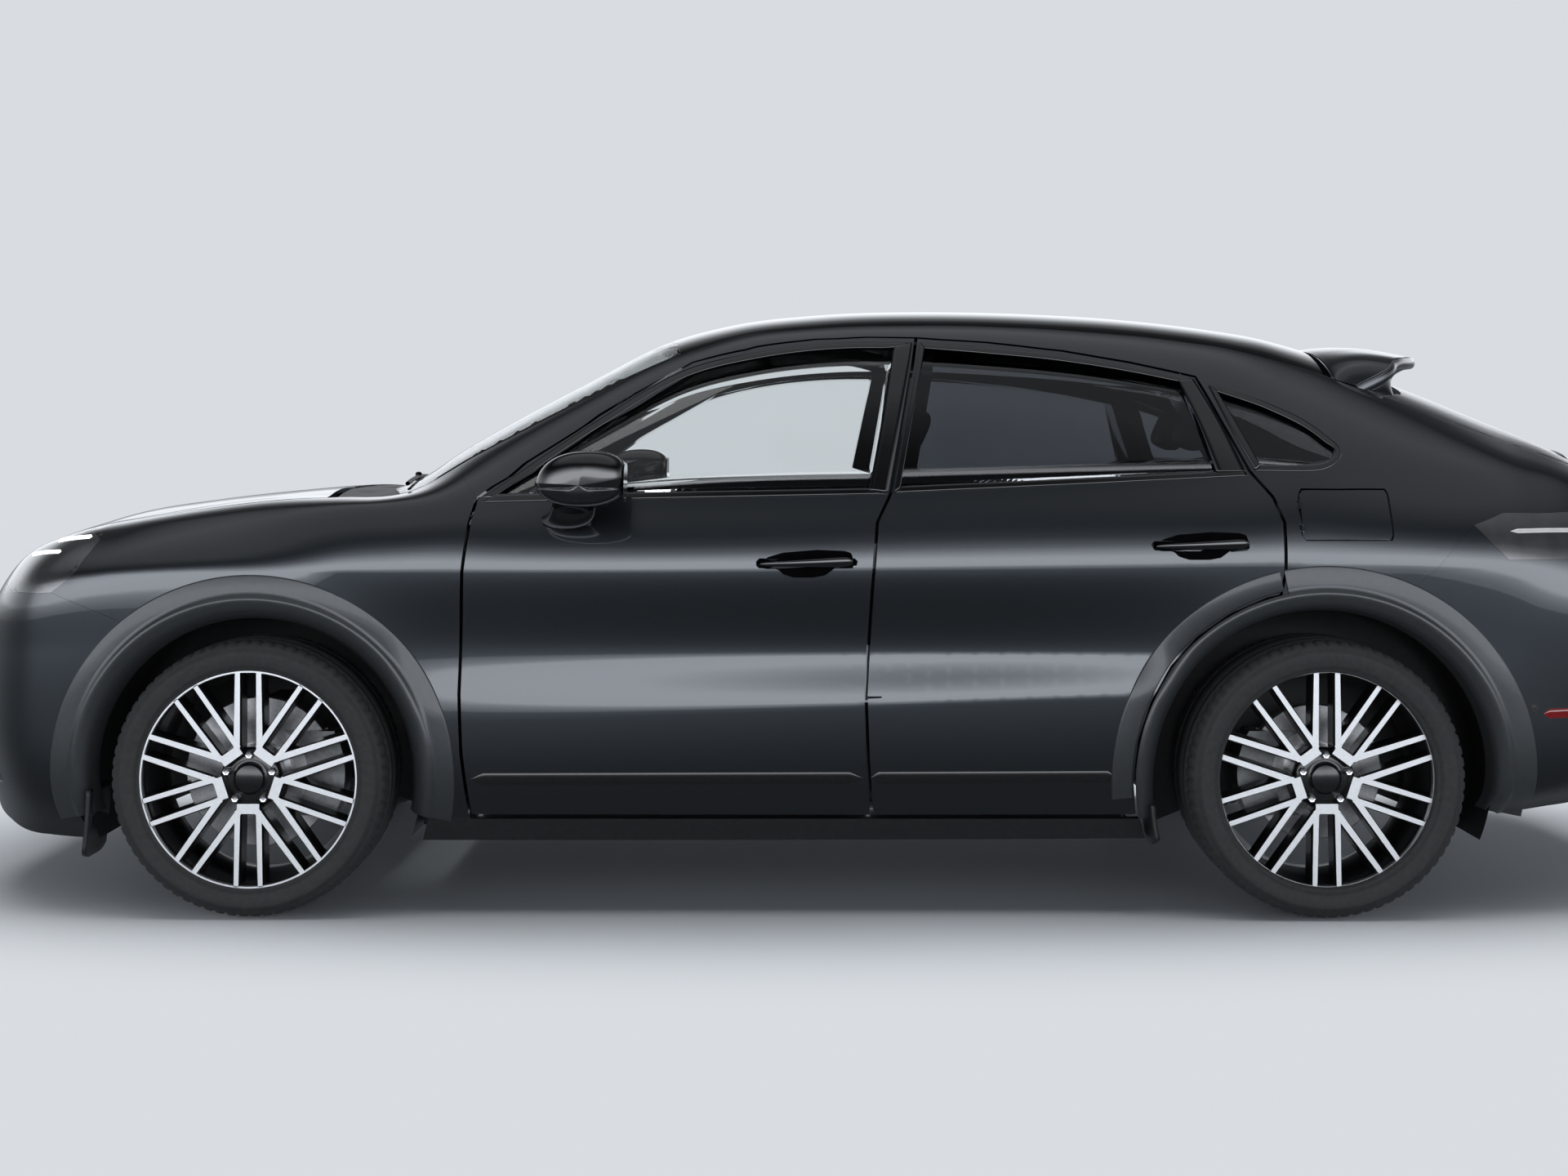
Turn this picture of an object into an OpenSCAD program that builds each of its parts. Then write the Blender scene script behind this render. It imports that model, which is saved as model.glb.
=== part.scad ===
// Five-door coupe sport utility vehicle, standing on its wheels.
// The front faces -X, the left side is at -Y, and the origin lies on the ground under the middle.

/* [Body] */
// Length over both bumpers
length = 4930; // [4700:10:5100]
// Width over the rear arches, without the mirrors
width = 1983; // [1900:1:2060]
// Height of the roof above the ground
height = 1678; // [1620:1:1740]
// Distance between the axles
wheelbase = 2895; // [2820:5:2960]
// Distance from the nose to the front axle
front_overhang = 905; // [860:5:950]

/* [Panels] */
// Gap around doors, flaps and lids
shut_gap = 9; // [8:0.5:12]
// Seam between fixed panels
seam = 0.6; // [0.4:0.1:1]
// Gap between a lid and the panel its hinge sits on
lid_gap = 24; // [22:1:28]
// Thickness of a door's outer skin
skin_t = 4; // [3:0.5:5]
// Depth of a whole door below its window
door_depth = 95; // [85:1:105]
// Depth of a door's window frame
frame_depth = 42; // [38:1:48]
// Set-back of a door's inner box from the edge of its skin
door_step = 26; // [22:1:30]
// Thickness of fenders and bumpers
panel_t = 30; // [24:1:36]
// Depth of the body side around the doors
side_depth = 76; // [70:1:82]
// Thickness of the glass
glass_t = 6; // [5:0.5:7]
// Depth of the side glass below the outer surface
glass_inset = 9; // [7:0.5:12]
// Thickness of the hood, the roof and the tailgate
lid_t = 26; // [22:1:30]

/* [Wheels] */
// Radius of the tyres
tyre_r = 374; // [366:1:380]
// Width of the front tyres
front_tyre_w = 285; // [265:5:295]
// Width of the rear tyres
rear_tyre_w = 315; // [295:5:325]
// Distance between the left and right wheel centres
track = 1680; // [1660:2:1690]
// Radius of the rim's outer edge
rim_r = 297; // [290:1:302]
// Radius of the front wheel openings
front_arch_r = 430; // [424:1:440]
// Radius of the rear wheel openings
rear_arch_r = 448; // [440:1:456]
// Width of the arch trims
arch_trim_w = 58; // [50:1:64]
// Radius of the front brake discs
front_disc_r = 205; // [195:1:210]
// Radius of the rear brake discs
rear_disc_r = 185; // [175:1:195]

/* [Hinges] */
// Radius of the door hinge pins
hinge_pin_r = 4; // [3.5:0.5:5]
// Clearance round the pins
pin_clearance = 0.3; // [0.2:0.05:0.4]

/* [Hidden] */

// Colours
paint = [0.22, 0.24, 0.27];
satin_dark = [0.09, 0.09, 0.1];
gloss_black = [0.02, 0.02, 0.02];
clear_tint = [0.35, 0.4, 0.42, 0.5];
dark_tint = [0.05, 0.06, 0.07, 0.8];
lamp_white = [0.85, 0.87, 0.9];
lamp_red = [0.55, 0.03, 0.04];
steel = [0.55, 0.56, 0.58];
cast_grey = [0.35, 0.36, 0.38];
rubber = [0.04, 0.04, 0.045];
leather = [0.1, 0.1, 0.11];

// Places that follow from the overall sizes
half_w = width / 2;
nose_x = -length / 2;
tail_x = length / 2;
front_axle_x = nose_x + front_overhang;
rear_axle_x = front_axle_x + wheelbase;
rear_overhang = tail_x - rear_axle_x;
wheel_y = track / 2;
overrun = length;
nudge = seam / 2;

// Lengthwise feature lines of the body. Each row holds a station, the half width and the height.
// A station runs from 0 at the nose over 1 and 2 at the axles to 3 at the tail.
underside_shares = [
    [0, 0.333, 0.197], [0.072, 0.524, 0.158], [0.196, 0.726, 0.134], [0.348, 0.822, 0.119],
    [1, 0.877, 0.116], [2, 0.888, 0.122], [2.412, 0.867, 0.155], [2.677, 0.822, 0.179],
    [2.898, 0.696, 0.197], [2.978, 0.524, 0.206], [3, 0.363, 0.209]];
sill_shares = [
    [0, 0.403, 0.25], [0.072, 0.605, 0.238], [0.196, 0.797, 0.218], [0.348, 0.898, 0.188],
    [1, 0.938, 0.167], [1.201, 0.923, 0.167], [1.815, 0.923, 0.167], [2, 0.938, 0.17],
    [2.412, 0.943, 0.2], [2.677, 0.908, 0.229], [2.898, 0.782, 0.244], [2.978, 0.595, 0.25],
    [3, 0.414, 0.253]];
crease_shares = [
    [0, 0.434, 0.31], [0.072, 0.635, 0.31], [0.196, 0.827, 0.31], [0.348, 0.923, 0.31],
    [1, 0.968, 0.31], [1.201, 0.954, 0.313], [1.539, 0.96, 0.333], [1.815, 0.965, 0.349],
    [2, 0.986, 0.352], [2.412, 0.968, 0.346], [2.677, 0.928, 0.337], [2.898, 0.807, 0.322],
    [2.978, 0.615, 0.31], [3, 0.444, 0.304]];
waist_shares = [
    [0, 0.424, 0.369], [0.072, 0.625, 0.387], [0.196, 0.819, 0.411], [0.348, 0.918, 0.424],
    [1, 0.968, 0.429], [1.201, 0.938, 0.429], [1.539, 0.933, 0.429], [1.815, 0.946, 0.43],
    [2, 0.978, 0.432], [2.412, 0.966, 0.429], [2.677, 0.93, 0.422], [2.898, 0.807, 0.399],
    [2.978, 0.615, 0.369], [3, 0.444, 0.352]];
shoulder_shares = [
    [0, 0.383, 0.417], [0.072, 0.595, 0.459], [0.196, 0.792, 0.498], [0.348, 0.903, 0.53],
    [1, 0.96, 0.554], [1.201, 0.956, 0.551], [1.539, 0.961, 0.554], [1.815, 0.968, 0.559],
    [2, 0.976, 0.563], [2.412, 0.961, 0.56], [2.677, 0.913, 0.545], [2.898, 0.787, 0.501],
    [2.978, 0.595, 0.444], [3, 0.424, 0.396]];
belt_shares = [
    [0, 0.323, 0.444], [0.072, 0.504, 0.495], [0.196, 0.671, 0.557], [0.348, 0.751, 0.596],
    [0.552, 0.792, 0.616], [0.929, 0.815, 0.643], [1.096, 0.852, 0.663], [1.201, 0.888, 0.66],
    [1.597, 0.894, 0.679], [1.912, 0.881, 0.708], [1.989, 0.873, 0.719], [2.279, 0.839, 0.715],
    [2.529, 0.797, 0.701], [2.734, 0.744, 0.672], [2.854, 0.701, 0.626], [2.942, 0.62, 0.545],
    [3, 0.383, 0.432]];
rail_shares = [
    [0, 0.222, 0.454], [0.072, 0.403, 0.508], [0.196, 0.504, 0.575], [0.348, 0.54, 0.609],
    [0.676, 0.56, 0.647], [1.049, 0.615, 0.673], [1.093, 0.674, 0.672], [1.132, 0.706, 0.679],
    [1.193, 0.686, 0.734], [1.269, 0.656, 0.802], [1.345, 0.627, 0.868], [1.404, 0.609, 0.912],
    [1.448, 0.605, 0.937], [1.529, 0.605, 0.953], [1.634, 0.605, 0.957], [1.731, 0.603, 0.953],
    [1.811, 0.599, 0.943], [1.892, 0.593, 0.929], [1.948, 0.589, 0.914], [2.033, 0.585, 0.883],
    [2.279, 0.593, 0.825], [2.529, 0.617, 0.76], [2.734, 0.645, 0.706], [2.854, 0.635, 0.656],
    [2.942, 0.565, 0.575], [3, 0.303, 0.444]];
spine_shares = [
    [0, 0, 0.458], [0.072, 0, 0.516], [0.196, 0, 0.59], [0.348, 0, 0.625],
    [0.676, 0, 0.658], [0.906, 0, 0.672], [1.049, 0, 0.681], [1.079, 0, 0.674],
    [1.09, 0, 0.678], [1.159, 0, 0.745], [1.228, 0, 0.812], [1.301, 0, 0.878],
    [1.372, 0, 0.941], [1.444, 0, 0.975], [1.532, 0, 0.993], [1.648, 0, 0.999],
    [1.754, 0, 0.995], [1.843, 0, 0.986], [1.932, 0, 0.969], [1.994, 0, 0.952],
    [2.097, 0, 0.933], [2.279, 0, 0.89], [2.529, 0, 0.824], [2.734, 0, 0.756],
    [2.813, 0, 0.732], [2.893, 0, 0.673], [2.96, 0, 0.566], [3, 0, 0.448]];
// Stations at which the body is cut into sections
section_shares = [0, 0.03, 0.072, 0.13, 0.196, 0.348, 0.6, 0.85, 1.049, 1.09, 1.132, 1.2, 1.3, 1.404, 1.46,
    1.55, 1.65, 1.75, 1.84, 1.92, 2, 2.097, 2.25, 2.4, 2.56, 2.734, 2.813, 2.893, 2.942, 2.978, 3];
// Steps between neighbouring feature lines of a section, from the underside to the spine
section_steps = [1, 1, 1, 1, 2, 3, 4];

// Shut lines and windows in the side view: each row holds a station and a height
front_door_edge_shares = [[1.203, 0.16], [1.196, 0.262], [1.194, 0.358], [1.197, 0.555], [1.202, 0.633],
    [1.207, 0.669]];
middle_gap_shares = [[1.626, 0.933], [1.61, 0.793], [1.597, 0.679], [1.584, 0.633], [1.579, 0.528],
    [1.573, 0.357], [1.575, 0.256], [1.579, 0.159]];
front_door_top_shares = [[1.207, 0.669], [1.263, 0.739], [1.318, 0.805], [1.408, 0.893], [1.47, 0.917],
    [1.528, 0.93], [1.577, 0.934], [1.626, 0.933]];
rear_door_top_shares = [[1.626, 0.933], [1.694, 0.925], [1.767, 0.912], [1.832, 0.894], [1.896, 0.871]];
rear_door_edge_shares = [[1.896, 0.871], [1.936, 0.715], [1.955, 0.673], [1.963, 0.633], [1.962, 0.554],
    [1.952, 0.477], [1.952, 0.16]];
front_window_shares = [[1.228, 0.676], [1.318, 0.785], [1.409, 0.877], [1.47, 0.903], [1.528, 0.917],
    [1.577, 0.921], [1.604, 0.921], [1.578, 0.687]];
rear_window_side_shares = [[1.604, 0.69], [1.632, 0.921], [1.694, 0.912], [1.767, 0.899], [1.832, 0.881],
    [1.879, 0.864], [1.895, 0.793], [1.905, 0.715]];
quarter_window_shares = [[1.914, 0.849], [1.963, 0.818], [2.004, 0.781], [2.053, 0.752], [2.04, 0.734],
    [1.984, 0.725], [1.946, 0.725]];
flap_shares = [[1.982, 0.603], [2.159, 0.603], [2.165, 0.612], [2.165, 0.678], [2.159, 0.687],
    [1.982, 0.687], [1.978, 0.678], [1.978, 0.612]];
bumper_cut_shares = [[0.05, 0.508], [0.396, 0.519], [0.569, 0.484], [0.757, 0.441]];
lamp_back_shares = [[0.396, 0.519], [0.475, 0.551], [0.508, 0.599], [0.47, 0.61], [0.24, 0.594]];
rear_cut_shares = [[2.174, 0.51], [2.27, 0.566], [2.362, 0.628]];
tail_lamp_shares = [[2.362, 0.628], [2.403, 0.596], [2.438, 0.573], [3.2, 0.573],
    [3.2, 0.643], [2.438, 0.647]];
// Outer edge of hood, cowl, windshield, roof and tailgate in plan: station and half width
top_edge_shares = [[-0.1, 0.4], [0.138, 0.444], [0.238, 0.565], [0.403, 0.645], [0.676, 0.696], [1, 0.721],
    [1.055, 0.741], [1.093, 0.741], [1.132, 0.718], [1.193, 0.674], [1.269, 0.637], [1.345, 0.609],
    [1.404, 0.59], [1.448, 0.587], [1.634, 0.587], [1.811, 0.581], [1.948, 0.571], [2.097, 0.565],
    [2.279, 0.57], [2.529, 0.595], [2.734, 0.625], [2.854, 0.645], [3.1, 0.645]];
// Cross lines of those panels in plan, from the middle outwards
hood_back_shares = [[1.04, 0], [1.043, 0.3], [1.052, 0.55], [1.066, 0.9]];
windshield_base_shares = [[1.09, 0], [1.094, 0.3], [1.11, 0.55], [1.132, 0.8]];
windshield_top_shares = [[1.372, 0], [1.376, 0.25], [1.39, 0.45], [1.404, 0.8]];
tailgate_front_shares = [[2.097, 0], [2.0968, 0.2], [2.095, 0.45], [2.09, 0.8]];
rear_window_shares = [[2.21, 0], [2.215, 0.3], [2.235, 0.5], [2.56, 0.53], [2.71, 0.555], [2.745, 0.3],
    [2.75, 0]];

// Heights of the splits across nose and tail
hood_lip_z = height * 0.512;
tailgate_sill_z = height * 0.415;
belt_z = height * 0.68;
door_bottom_z = height * 0.159;

function station_x(s) = s <= 1 ? nose_x + s * front_overhang
    : s <= 2 ? front_axle_x + (s - 1) * wheelbase
    : rear_axle_x + (s - 2) * rear_overhang;
function side_points(shares) = [for (p = shares) [station_x(p[0]), p[1] * height]];
function plan_points(shares) = [for (p = shares) [station_x(p[0]), p[1] * half_w]];
function line_points(shares) = [for (p = shares) [station_x(p[0]), p[1] * half_w, p[2] * height]];
feature_lines = [for (t = [underside_shares, sill_shares, crease_shares, waist_shares, shoulder_shares,
    belt_shares, rail_shares, spine_shares]) line_points(t)];

// Smooth curve through the rows of a table, by its first column
function span(t, x, i = 1) = i >= len(t) - 1 || x <= t[i][0] ? i - 1 : span(t, x, i + 1);
function chord_slope(t, i, k) = (t[i + 1][k] - t[i][k]) / (t[i + 1][0] - t[i][0]);
function limited(m, a, b) = a * b <= 0 ? 0 : sign(m) * min(abs(m), 3 * min(abs(a), abs(b)));
function knot_slope(t, i, k) = i == 0 ? chord_slope(t, 0, k)
    : i == len(t) - 1 ? chord_slope(t, i - 1, k)
    : let (a = chord_slope(t, i - 1, k), b = chord_slope(t, i, k),
        h = t[i][0] - t[i - 1][0], g = t[i + 1][0] - t[i][0])
        limited((a * g + b * h) / (g + h), a, b);
function hermite(p, q, m, n, u) = (1 + 2 * u) * (1 - u) * (1 - u) * p + u * (1 - u) * (1 - u) * m
    + u * u * (3 - 2 * u) * q - u * u * (1 - u) * n;
function curve_at(t, x, k) = let (i = span(t, x), h = t[i + 1][0] - t[i][0], u = (x - t[i][0]) / h)
    hermite(t[i][k], t[i + 1][k], h * knot_slope(t, i, k), h * knot_slope(t, i + 1, k), u);

// Half a cross section from the underside to the spine, with the outward direction at each point
function feature_row(x) = [for (t = feature_lines) [curve_at(t, x, 1), curve_at(t, x, 2)]];
function row_tangent(f, i) = i == 0 ? f[1] - f[0]
    : i == len(f) - 1 ? [-norm(f[i] - f[i - 1]), 0]
    : let (h = norm(f[i] - f[i - 1]), g = norm(f[i + 1] - f[i]),
        a = (f[i] - f[i - 1]) / h, b = (f[i + 1] - f[i]) / g,
        m = (a * g + b * h) / (g + h))
        [limited(m[0], a[0], b[0]), limited(m[1], a[1], b[1])];
function row_speed(f, i, h) = i == 0 || i == len(f) - 1 ? row_tangent(f, i) / norm(row_tangent(f, i)) * h
    : row_tangent(f, i) * h;
function half_section(x) = let (f = feature_row(x)) concat([f[0]],
    [for (i = [0 : len(f) - 2], j = [1 : section_steps[i]]) let (h = norm(f[i + 1] - f[i]))
        hermite(f[i], f[i + 1], row_speed(f, i, h), row_speed(f, i + 1, h), j / section_steps[i])]);
function outward(s, i) = let (a = s[max(i - 1, 0)], b = s[min(i + 1, len(s) - 1)], d = (b - a) / norm(b - a))
    i == 0 ? [1, -1] / norm([1, 1]) : i == len(s) - 1 ? [0, 1] : [d[1], -d[0]];
function inset_section(x, inset) = let (s = half_section(x))
    [for (i = [0 : len(s) - 1]) let (p = s[i] - inset * outward(s, i)) [max(p[0], 0), p[1]]];
function ring_points(x, inset) = let (s = inset_section(x, inset), e = x * (1 - inset / tail_x))
    concat([for (i = [len(s) - 1 : -1 : 0]) [e, s[i][0], s[i][1]]],
        [for (i = [0 : len(s) - 2]) [e, -s[i][0], s[i][1]]]);

// Closed form of the whole body, drawn in by an inset
module body_form(inset) {
    rings = [for (s = section_shares) ring_points(station_x(s), inset)];
    n = len(rings[0]);
    m = len(rings);
    polyhedron([for (r = rings) each r], concat(
        [[for (i = [n - 1 : -1 : 0]) i]],
        [[for (i = [0 : n - 1]) (m - 1) * n + i]],
        [for (k = [0 : m - 2], i = [0 : n - 1]) let (a = k * n + i, b = k * n + (i + 1) % n)
            each [[a, b, a + n], [b, b + n, a + n]]]));
}

// Wall of the body between two depths
module body_wall(outer, inner) {
    difference() {
        body_form(outer);
        body_form(inner);
    }
}

// Left half-space prism over an outline in the side view
module side_prism(points, grow = 0) {
    rotate([90, 0, 0]) linear_extrude(half_w * 2) offset(delta = grow) polygon(points);
}

// Upright prism over an outline in plan, both sides
module plan_prism(points, grow = 0) {
    outline = concat(points, [for (i = [len(points) - 1 : -1 : 0]) [points[i][0], -points[i][1]]]);
    linear_extrude(height * 2) offset(delta = grow) polygon(outline);
}

// Narrow slot along an outline in the side view
module side_slot(points, gap) {
    for (i = [0 : len(points) - 2])
        hull() for (p = [points[i], points[i + 1]])
            translate([p[0], 0, p[1]]) rotate([90, 0, 0]) cylinder(d = gap, h = half_w * 2, $fn = 6);
}

// Narrow slot along a line in plan, both sides
module plan_slot(points, gap) {
    for (side = [-1, 1], i = [0 : len(points) - 2])
        hull() for (p = [points[i], points[i + 1]])
            translate([p[0], side * p[1], 0]) cylinder(d = gap, h = height * 2, $fn = 6);
}

// Left piece and its mirror image
module outboard(share) {
    translate([-overrun, -overrun, 0]) cube([overrun * 2, overrun - half_w * share, overrun]);
}

module both_sides() {
    children();
    mirror([0, 1, 0]) children();
}

module wheel_bore(x, r) {
    translate([x, -half_w * 2, tyre_r]) rotate([-90, 0, 0]) cylinder(r = r, h = half_w * 2, $fn = 30);
}

function loop(points) = concat(points, [points[0]]);
front_door_edge = side_points(front_door_edge_shares);
middle_gap = side_points(middle_gap_shares);
front_door_outline = concat(front_door_edge, side_points(front_door_top_shares), middle_gap);
rear_door_outline = concat([for (i = [len(middle_gap) - 1 : -1 : 0]) middle_gap[i]],
    side_points(rear_door_top_shares), side_points(rear_door_edge_shares));
front_window = side_points(front_window_shares);
rear_side_window = side_points(rear_window_side_shares);
quarter_window = side_points(quarter_window_shares);
flap_outline = side_points(flap_shares);
tail_lamp_outline = side_points(tail_lamp_shares);
headlamp_outline = concat(side_points(lamp_back_shares),
    [[nose_x * 1.2, height * 0.58], [nose_x * 1.2, height * 0.508]], side_points([bumper_cut_shares[0]]));
top_edge = plan_points(top_edge_shares);
hood_back = plan_points(hood_back_shares);
windshield_base = plan_points(windshield_base_shares);
windshield_top = plan_points(windshield_top_shares);
tailgate_front = plan_points(tailgate_front_shares);
rear_window_outline = plan_points(rear_window_shares);

// Part of the top panels between two cross lines
module top_band(front_line, back_line, grow = 0) {
    reversed = [for (i = [len(back_line) - 1 : -1 : 0]) back_line[i]];
    intersection() {
        above(height * 0.4);
        plan_prism(concat([[top_edge[0][0], 0]], top_edge, [[top_edge[len(top_edge) - 1][0], 0]]), grow);
        linear_extrude(height * 2) polygon(concat(front_line, reversed,
            [for (p = back_line) [p[0], -p[1]]],
            [for (i = [len(front_line) - 1 : -1 : 0]) [front_line[i][0], -front_line[i][1]]]));
    }
}

module above(z) {
    translate([-overrun, -overrun, z]) cube([overrun * 2, overrun * 2, overrun]);
}

module below(z) {
    translate([-overrun, -overrun, z - overrun]) cube([overrun * 2, overrun * 2, overrun]);
}

module behind(x) {
    translate([x, -overrun, -overrun]) cube([overrun, overrun * 2, overrun * 2]);
}

front_line_end = [[-overrun, 0], [-overrun, half_w]];
back_line_end = [[overrun, 0], [overrun, half_w]];

// Room of the tailgate, from the roof to its lower edge
module tailgate_room(grow = 0) {
    intersection() {
        top_band(tailgate_front, back_line_end, grow);
        above(tailgate_sill_z - grow);
    }
}

module hood_room(grow = 0) {
    intersection() {
        top_band(front_line_end, hood_back, grow);
        above(hood_lip_z - grow);
    }
}

front_bumper_outline = concat([[nose_x * 1.2, height * 0.508]], side_points(bumper_cut_shares),
    [[front_axle_x, height * 0.43], [front_axle_x, 0], [nose_x * 1.2, 0]]);
fender_back = concat([for (i = [len(front_door_edge) - 1 : -1 : 0]) front_door_edge[i]]);
fender_outline = concat([station_side(1.155, 0.78)], fender_back, [station_side(1.203, 0.157)],
    [station_side(1.1, 0.157), station_side(1, 0.3)],
    [for (i = [len(bumper_cut_shares) - 1 : -1 : 1])
        station_side(bumper_cut_shares[i][0], bumper_cut_shares[i][1])],
    side_points([for (i = [1 : len(lamp_back_shares) - 1]) lamp_back_shares[i]]), [station_side(0.24, 0.78)]);
function station_side(s, z) = [station_x(s), z * height];
rear_bumper_outline = concat(side_points(rear_cut_shares),
    [station_side(2.403, 0.596), station_side(2.438, 0.573),
    station_side(3.2, 0.573), station_side(3.2, 0), station_side(2, 0), station_side(2, 0.45)]);

// Door without its window: skin, stepped inner box and slimmer window frame
module door_blank(outline, window) {
    difference() {
        intersection() {
            body_form(0);
            side_prism(outline);
        }
        difference() {
            body_form(skin_t);
            side_prism(outline, -door_step);
        }
        body_form(door_depth);
        intersection() {
            body_form(frame_depth);
            above(belt_z);
        }
        side_slot(loop(outline), shut_gap);
        side_prism(window);
    }
}

// Hinge places: distance of the pin behind the leading edge, heights and depth below the skin
pin_setback = wheelbase * 0.0173;
pin_depth = 12;
front_pin_x = station_x(1.194) + pin_setback;
rear_pin_x = station_x(1.573) + pin_setback;
front_pin_y = -(half_w * 0.954 - pin_depth);
rear_pin_y = -(half_w * 0.961 - pin_depth);
front_hinge_z = [height * 0.313, height * 0.548];
rear_hinge_z = [height * 0.335, height * 0.548];
hinge_h = 66;
arm_h = 30;
lug_h = hinge_h / 2 - arm_h / 2 - pin_clearance;
knuckle_r = 5;
arm_w = 12;
lug_r = 9;

// Pocket in a door round one hinge
module hinge_pocket(x, y, z) {
    translate([x - pin_setback, y + pin_depth / 2 - skin_t, z - hinge_h / 2])
        cube([pin_setback + arm_w * 2, door_depth * 2, hinge_h]);
    translate([x - pin_setback, y - knuckle_r - skin_t / 2, z - hinge_h / 2])
        cube([pin_setback + arm_w * 2, door_depth, hinge_h]);
}

module hinge_lug(x, y, z) {
    difference() {
        translate([0, 0, z + hinge_h / 2 - lug_h]) hull() {
            translate([x, y, 0]) cylinder(r = lug_r, h = lug_h, $fn = 24);
            translate([x + arm_w * 2, y - lug_r, 0]) cube([arm_w, lug_r * 2, lug_h]);
        }
        translate([x, y, z]) cylinder(r = hinge_pin_r + pin_clearance, h = hinge_h, $fn = 24);
    }
}

module hinge_arm(x, y, z) {
    translate([0, 0, z - arm_h / 2]) {
        translate([x, y, 0]) cylinder(r = knuckle_r, h = arm_h, $fn = 24);
        translate([x, y, 0]) cube([arm_w, door_depth + side_depth, arm_h]);
    }
}

module hinge_pin(x, y, z) {
    translate([x, y, z + arm_h / 2]) cylinder(r = hinge_pin_r, h = hinge_h / 2 - arm_h / 2);
}

module front_door() {
    color(paint) union() {
        difference() {
            door_blank(front_door_outline, front_window);
            for (z = front_hinge_z) hinge_pocket(front_pin_x, front_pin_y, z);
        }
        for (z = front_hinge_z) hinge_lug(front_pin_x, front_pin_y, z);
        door_handle(1.475, 1.561, 0.568);
    }
}

module rear_door() {
    color(paint) union() {
        difference() {
            door_blank(rear_door_outline, rear_side_window);
            wheel_bore(rear_axle_x, rear_arch_r + arch_trim_w + shut_gap);
            for (z = rear_hinge_z) hinge_pocket(rear_pin_x, rear_pin_y, z);
        }
        for (z = rear_hinge_z) hinge_lug(rear_pin_x, rear_pin_y, z);
        door_handle(1.843, 1.929, 0.596);
    }
}

// Bow handle between two stations
handle_out = 18;
handle_r = 14;
module door_handle(from_share, to_share, z_share) {
    x0 = station_x(from_share);
    x1 = station_x(to_share);
    y0 = -half_w * 0.955;
    z0 = height * z_share;
    for (p = [[x0, x0 * 0.8 + x1 * 0.2, 0, 1], [x0 * 0.8 + x1 * 0.2, x0 * 0.2 + x1 * 0.8, 1, 1],
        [x0 * 0.2 + x1 * 0.8, x1, 1, 0]])
        hull() {
            translate([p[0], y0 - p[2] * handle_out, z0]) sphere(r = handle_r, $fn = 8);
            translate([p[1], y0 - p[3] * handle_out, z0]) sphere(r = handle_r, $fn = 8);
        }
}

// Fixed glass or door glass in a side window
module side_glass(window) {
    difference() {
        intersection() {
            body_wall(glass_inset, glass_inset + glass_t);
            side_prism(window);
        }
        side_slot(loop(window), seam);
    }
}

// Body side: quarter panel, roof rail, pillars, inner sill and door frames
aperture_step = 62;
flap_room = 5.5;
aperture_grow = 16;
frame_room = 20;
lower_frame_depth = door_depth + frame_room;
frame_t = 46;
upper_frame_room = 12;
upper_frame_depth = frame_depth + upper_frame_room;
sill_trim_t = 34;
module body_side() {
    color(paint) difference() {
        union() {
            difference() {
                intersection() {
                    body_wall(0, side_depth);
                    outboard(0.54);
                    side_prism([station_side(1.155, 0.78), station_side(1.207, 0.669),
                        station_side(1.207, 0.3),
                        station_side(1.4, 0.3), station_side(1.9, 0.16), station_side(2, 0.45),
                        station_side(2.174, 0.51), station_side(2.27, 0.566), station_side(2.362, 0.628),
                        station_side(2.438, 0.647), station_side(3.2, 0.643), station_side(3.2, 1.2),
                        station_side(1.155, 1.2)]);
                }
                side_slot([station_side(1.155, 0.78), station_side(1.207, 0.669)], seam);
                side_prism(front_door_outline);
                side_prism(rear_door_outline);
                side_slot(loop(front_door_outline), shut_gap);
                side_slot(loop(rear_door_outline), shut_gap);
                side_prism(quarter_window);
                top_band(front_line_end, back_line_end, nudge);
                tailgate_room(shut_gap / 2);
                wheel_bore(rear_axle_x, rear_arch_r + arch_trim_w + nudge);
                intersection() {
                    body_wall(-seam, glass_t + flap_room);
                    side_prism(flap_outline);
                }
            }
            door_frames();
            for (z = front_hinge_z) hinge_arm(front_pin_x, front_pin_y, z);
            for (z = rear_hinge_z) hinge_arm(rear_pin_x, rear_pin_y, z);
            at_flap_hinges() flap_ears();
        }
        wheel_bore(rear_axle_x, rear_arch_r + arch_trim_w + nudge);
    }
}

// Frames that the doors close against, with the inner sill
module door_frames() {
    difference() {
        union() {
            intersection() {
                difference() {
                    body_form(upper_frame_depth);
                    difference() {
                        below(belt_z);
                        body_form(lower_frame_depth);
                    }
                }
                rotate([90, 0, 0]) linear_extrude(half_w) offset(delta = aperture_grow) {
                    polygon(front_door_outline);
                    polygon(rear_door_outline);
                }
            }
            intersection() {
                body_form(sill_trim_t + nudge);
                translate([station_x(1.16), -half_w, 0]) {
                    cube([wheelbase * 0.66, half_w - floor_w - nudge, door_bottom_z - shut_gap]);
                    translate([0, half_w - floor_w - nudge - frame_t, 0])
                        cube([wheelbase * 0.66, frame_t, door_bottom_z + frame_t]);
                }
            }
        }
        difference() {
            body_form(lower_frame_depth + frame_t);
            below(door_bottom_z + frame_t);
        }
        translate([-overrun, -half_w * 0.54, 0]) cube([overrun * 2, overrun, overrun]);
        translate([-overrun, -floor_w - nudge, 0])
            cube([overrun * 2, overrun, door_bottom_z + aperture_step * 2]);
        side_prism(front_door_outline, -aperture_step);
        side_prism(rear_door_outline, -aperture_step);
    }
}

module body_side_left() { body_side(); }
module body_side_right() { mirror([0, 1, 0]) body_side(); }

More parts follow.
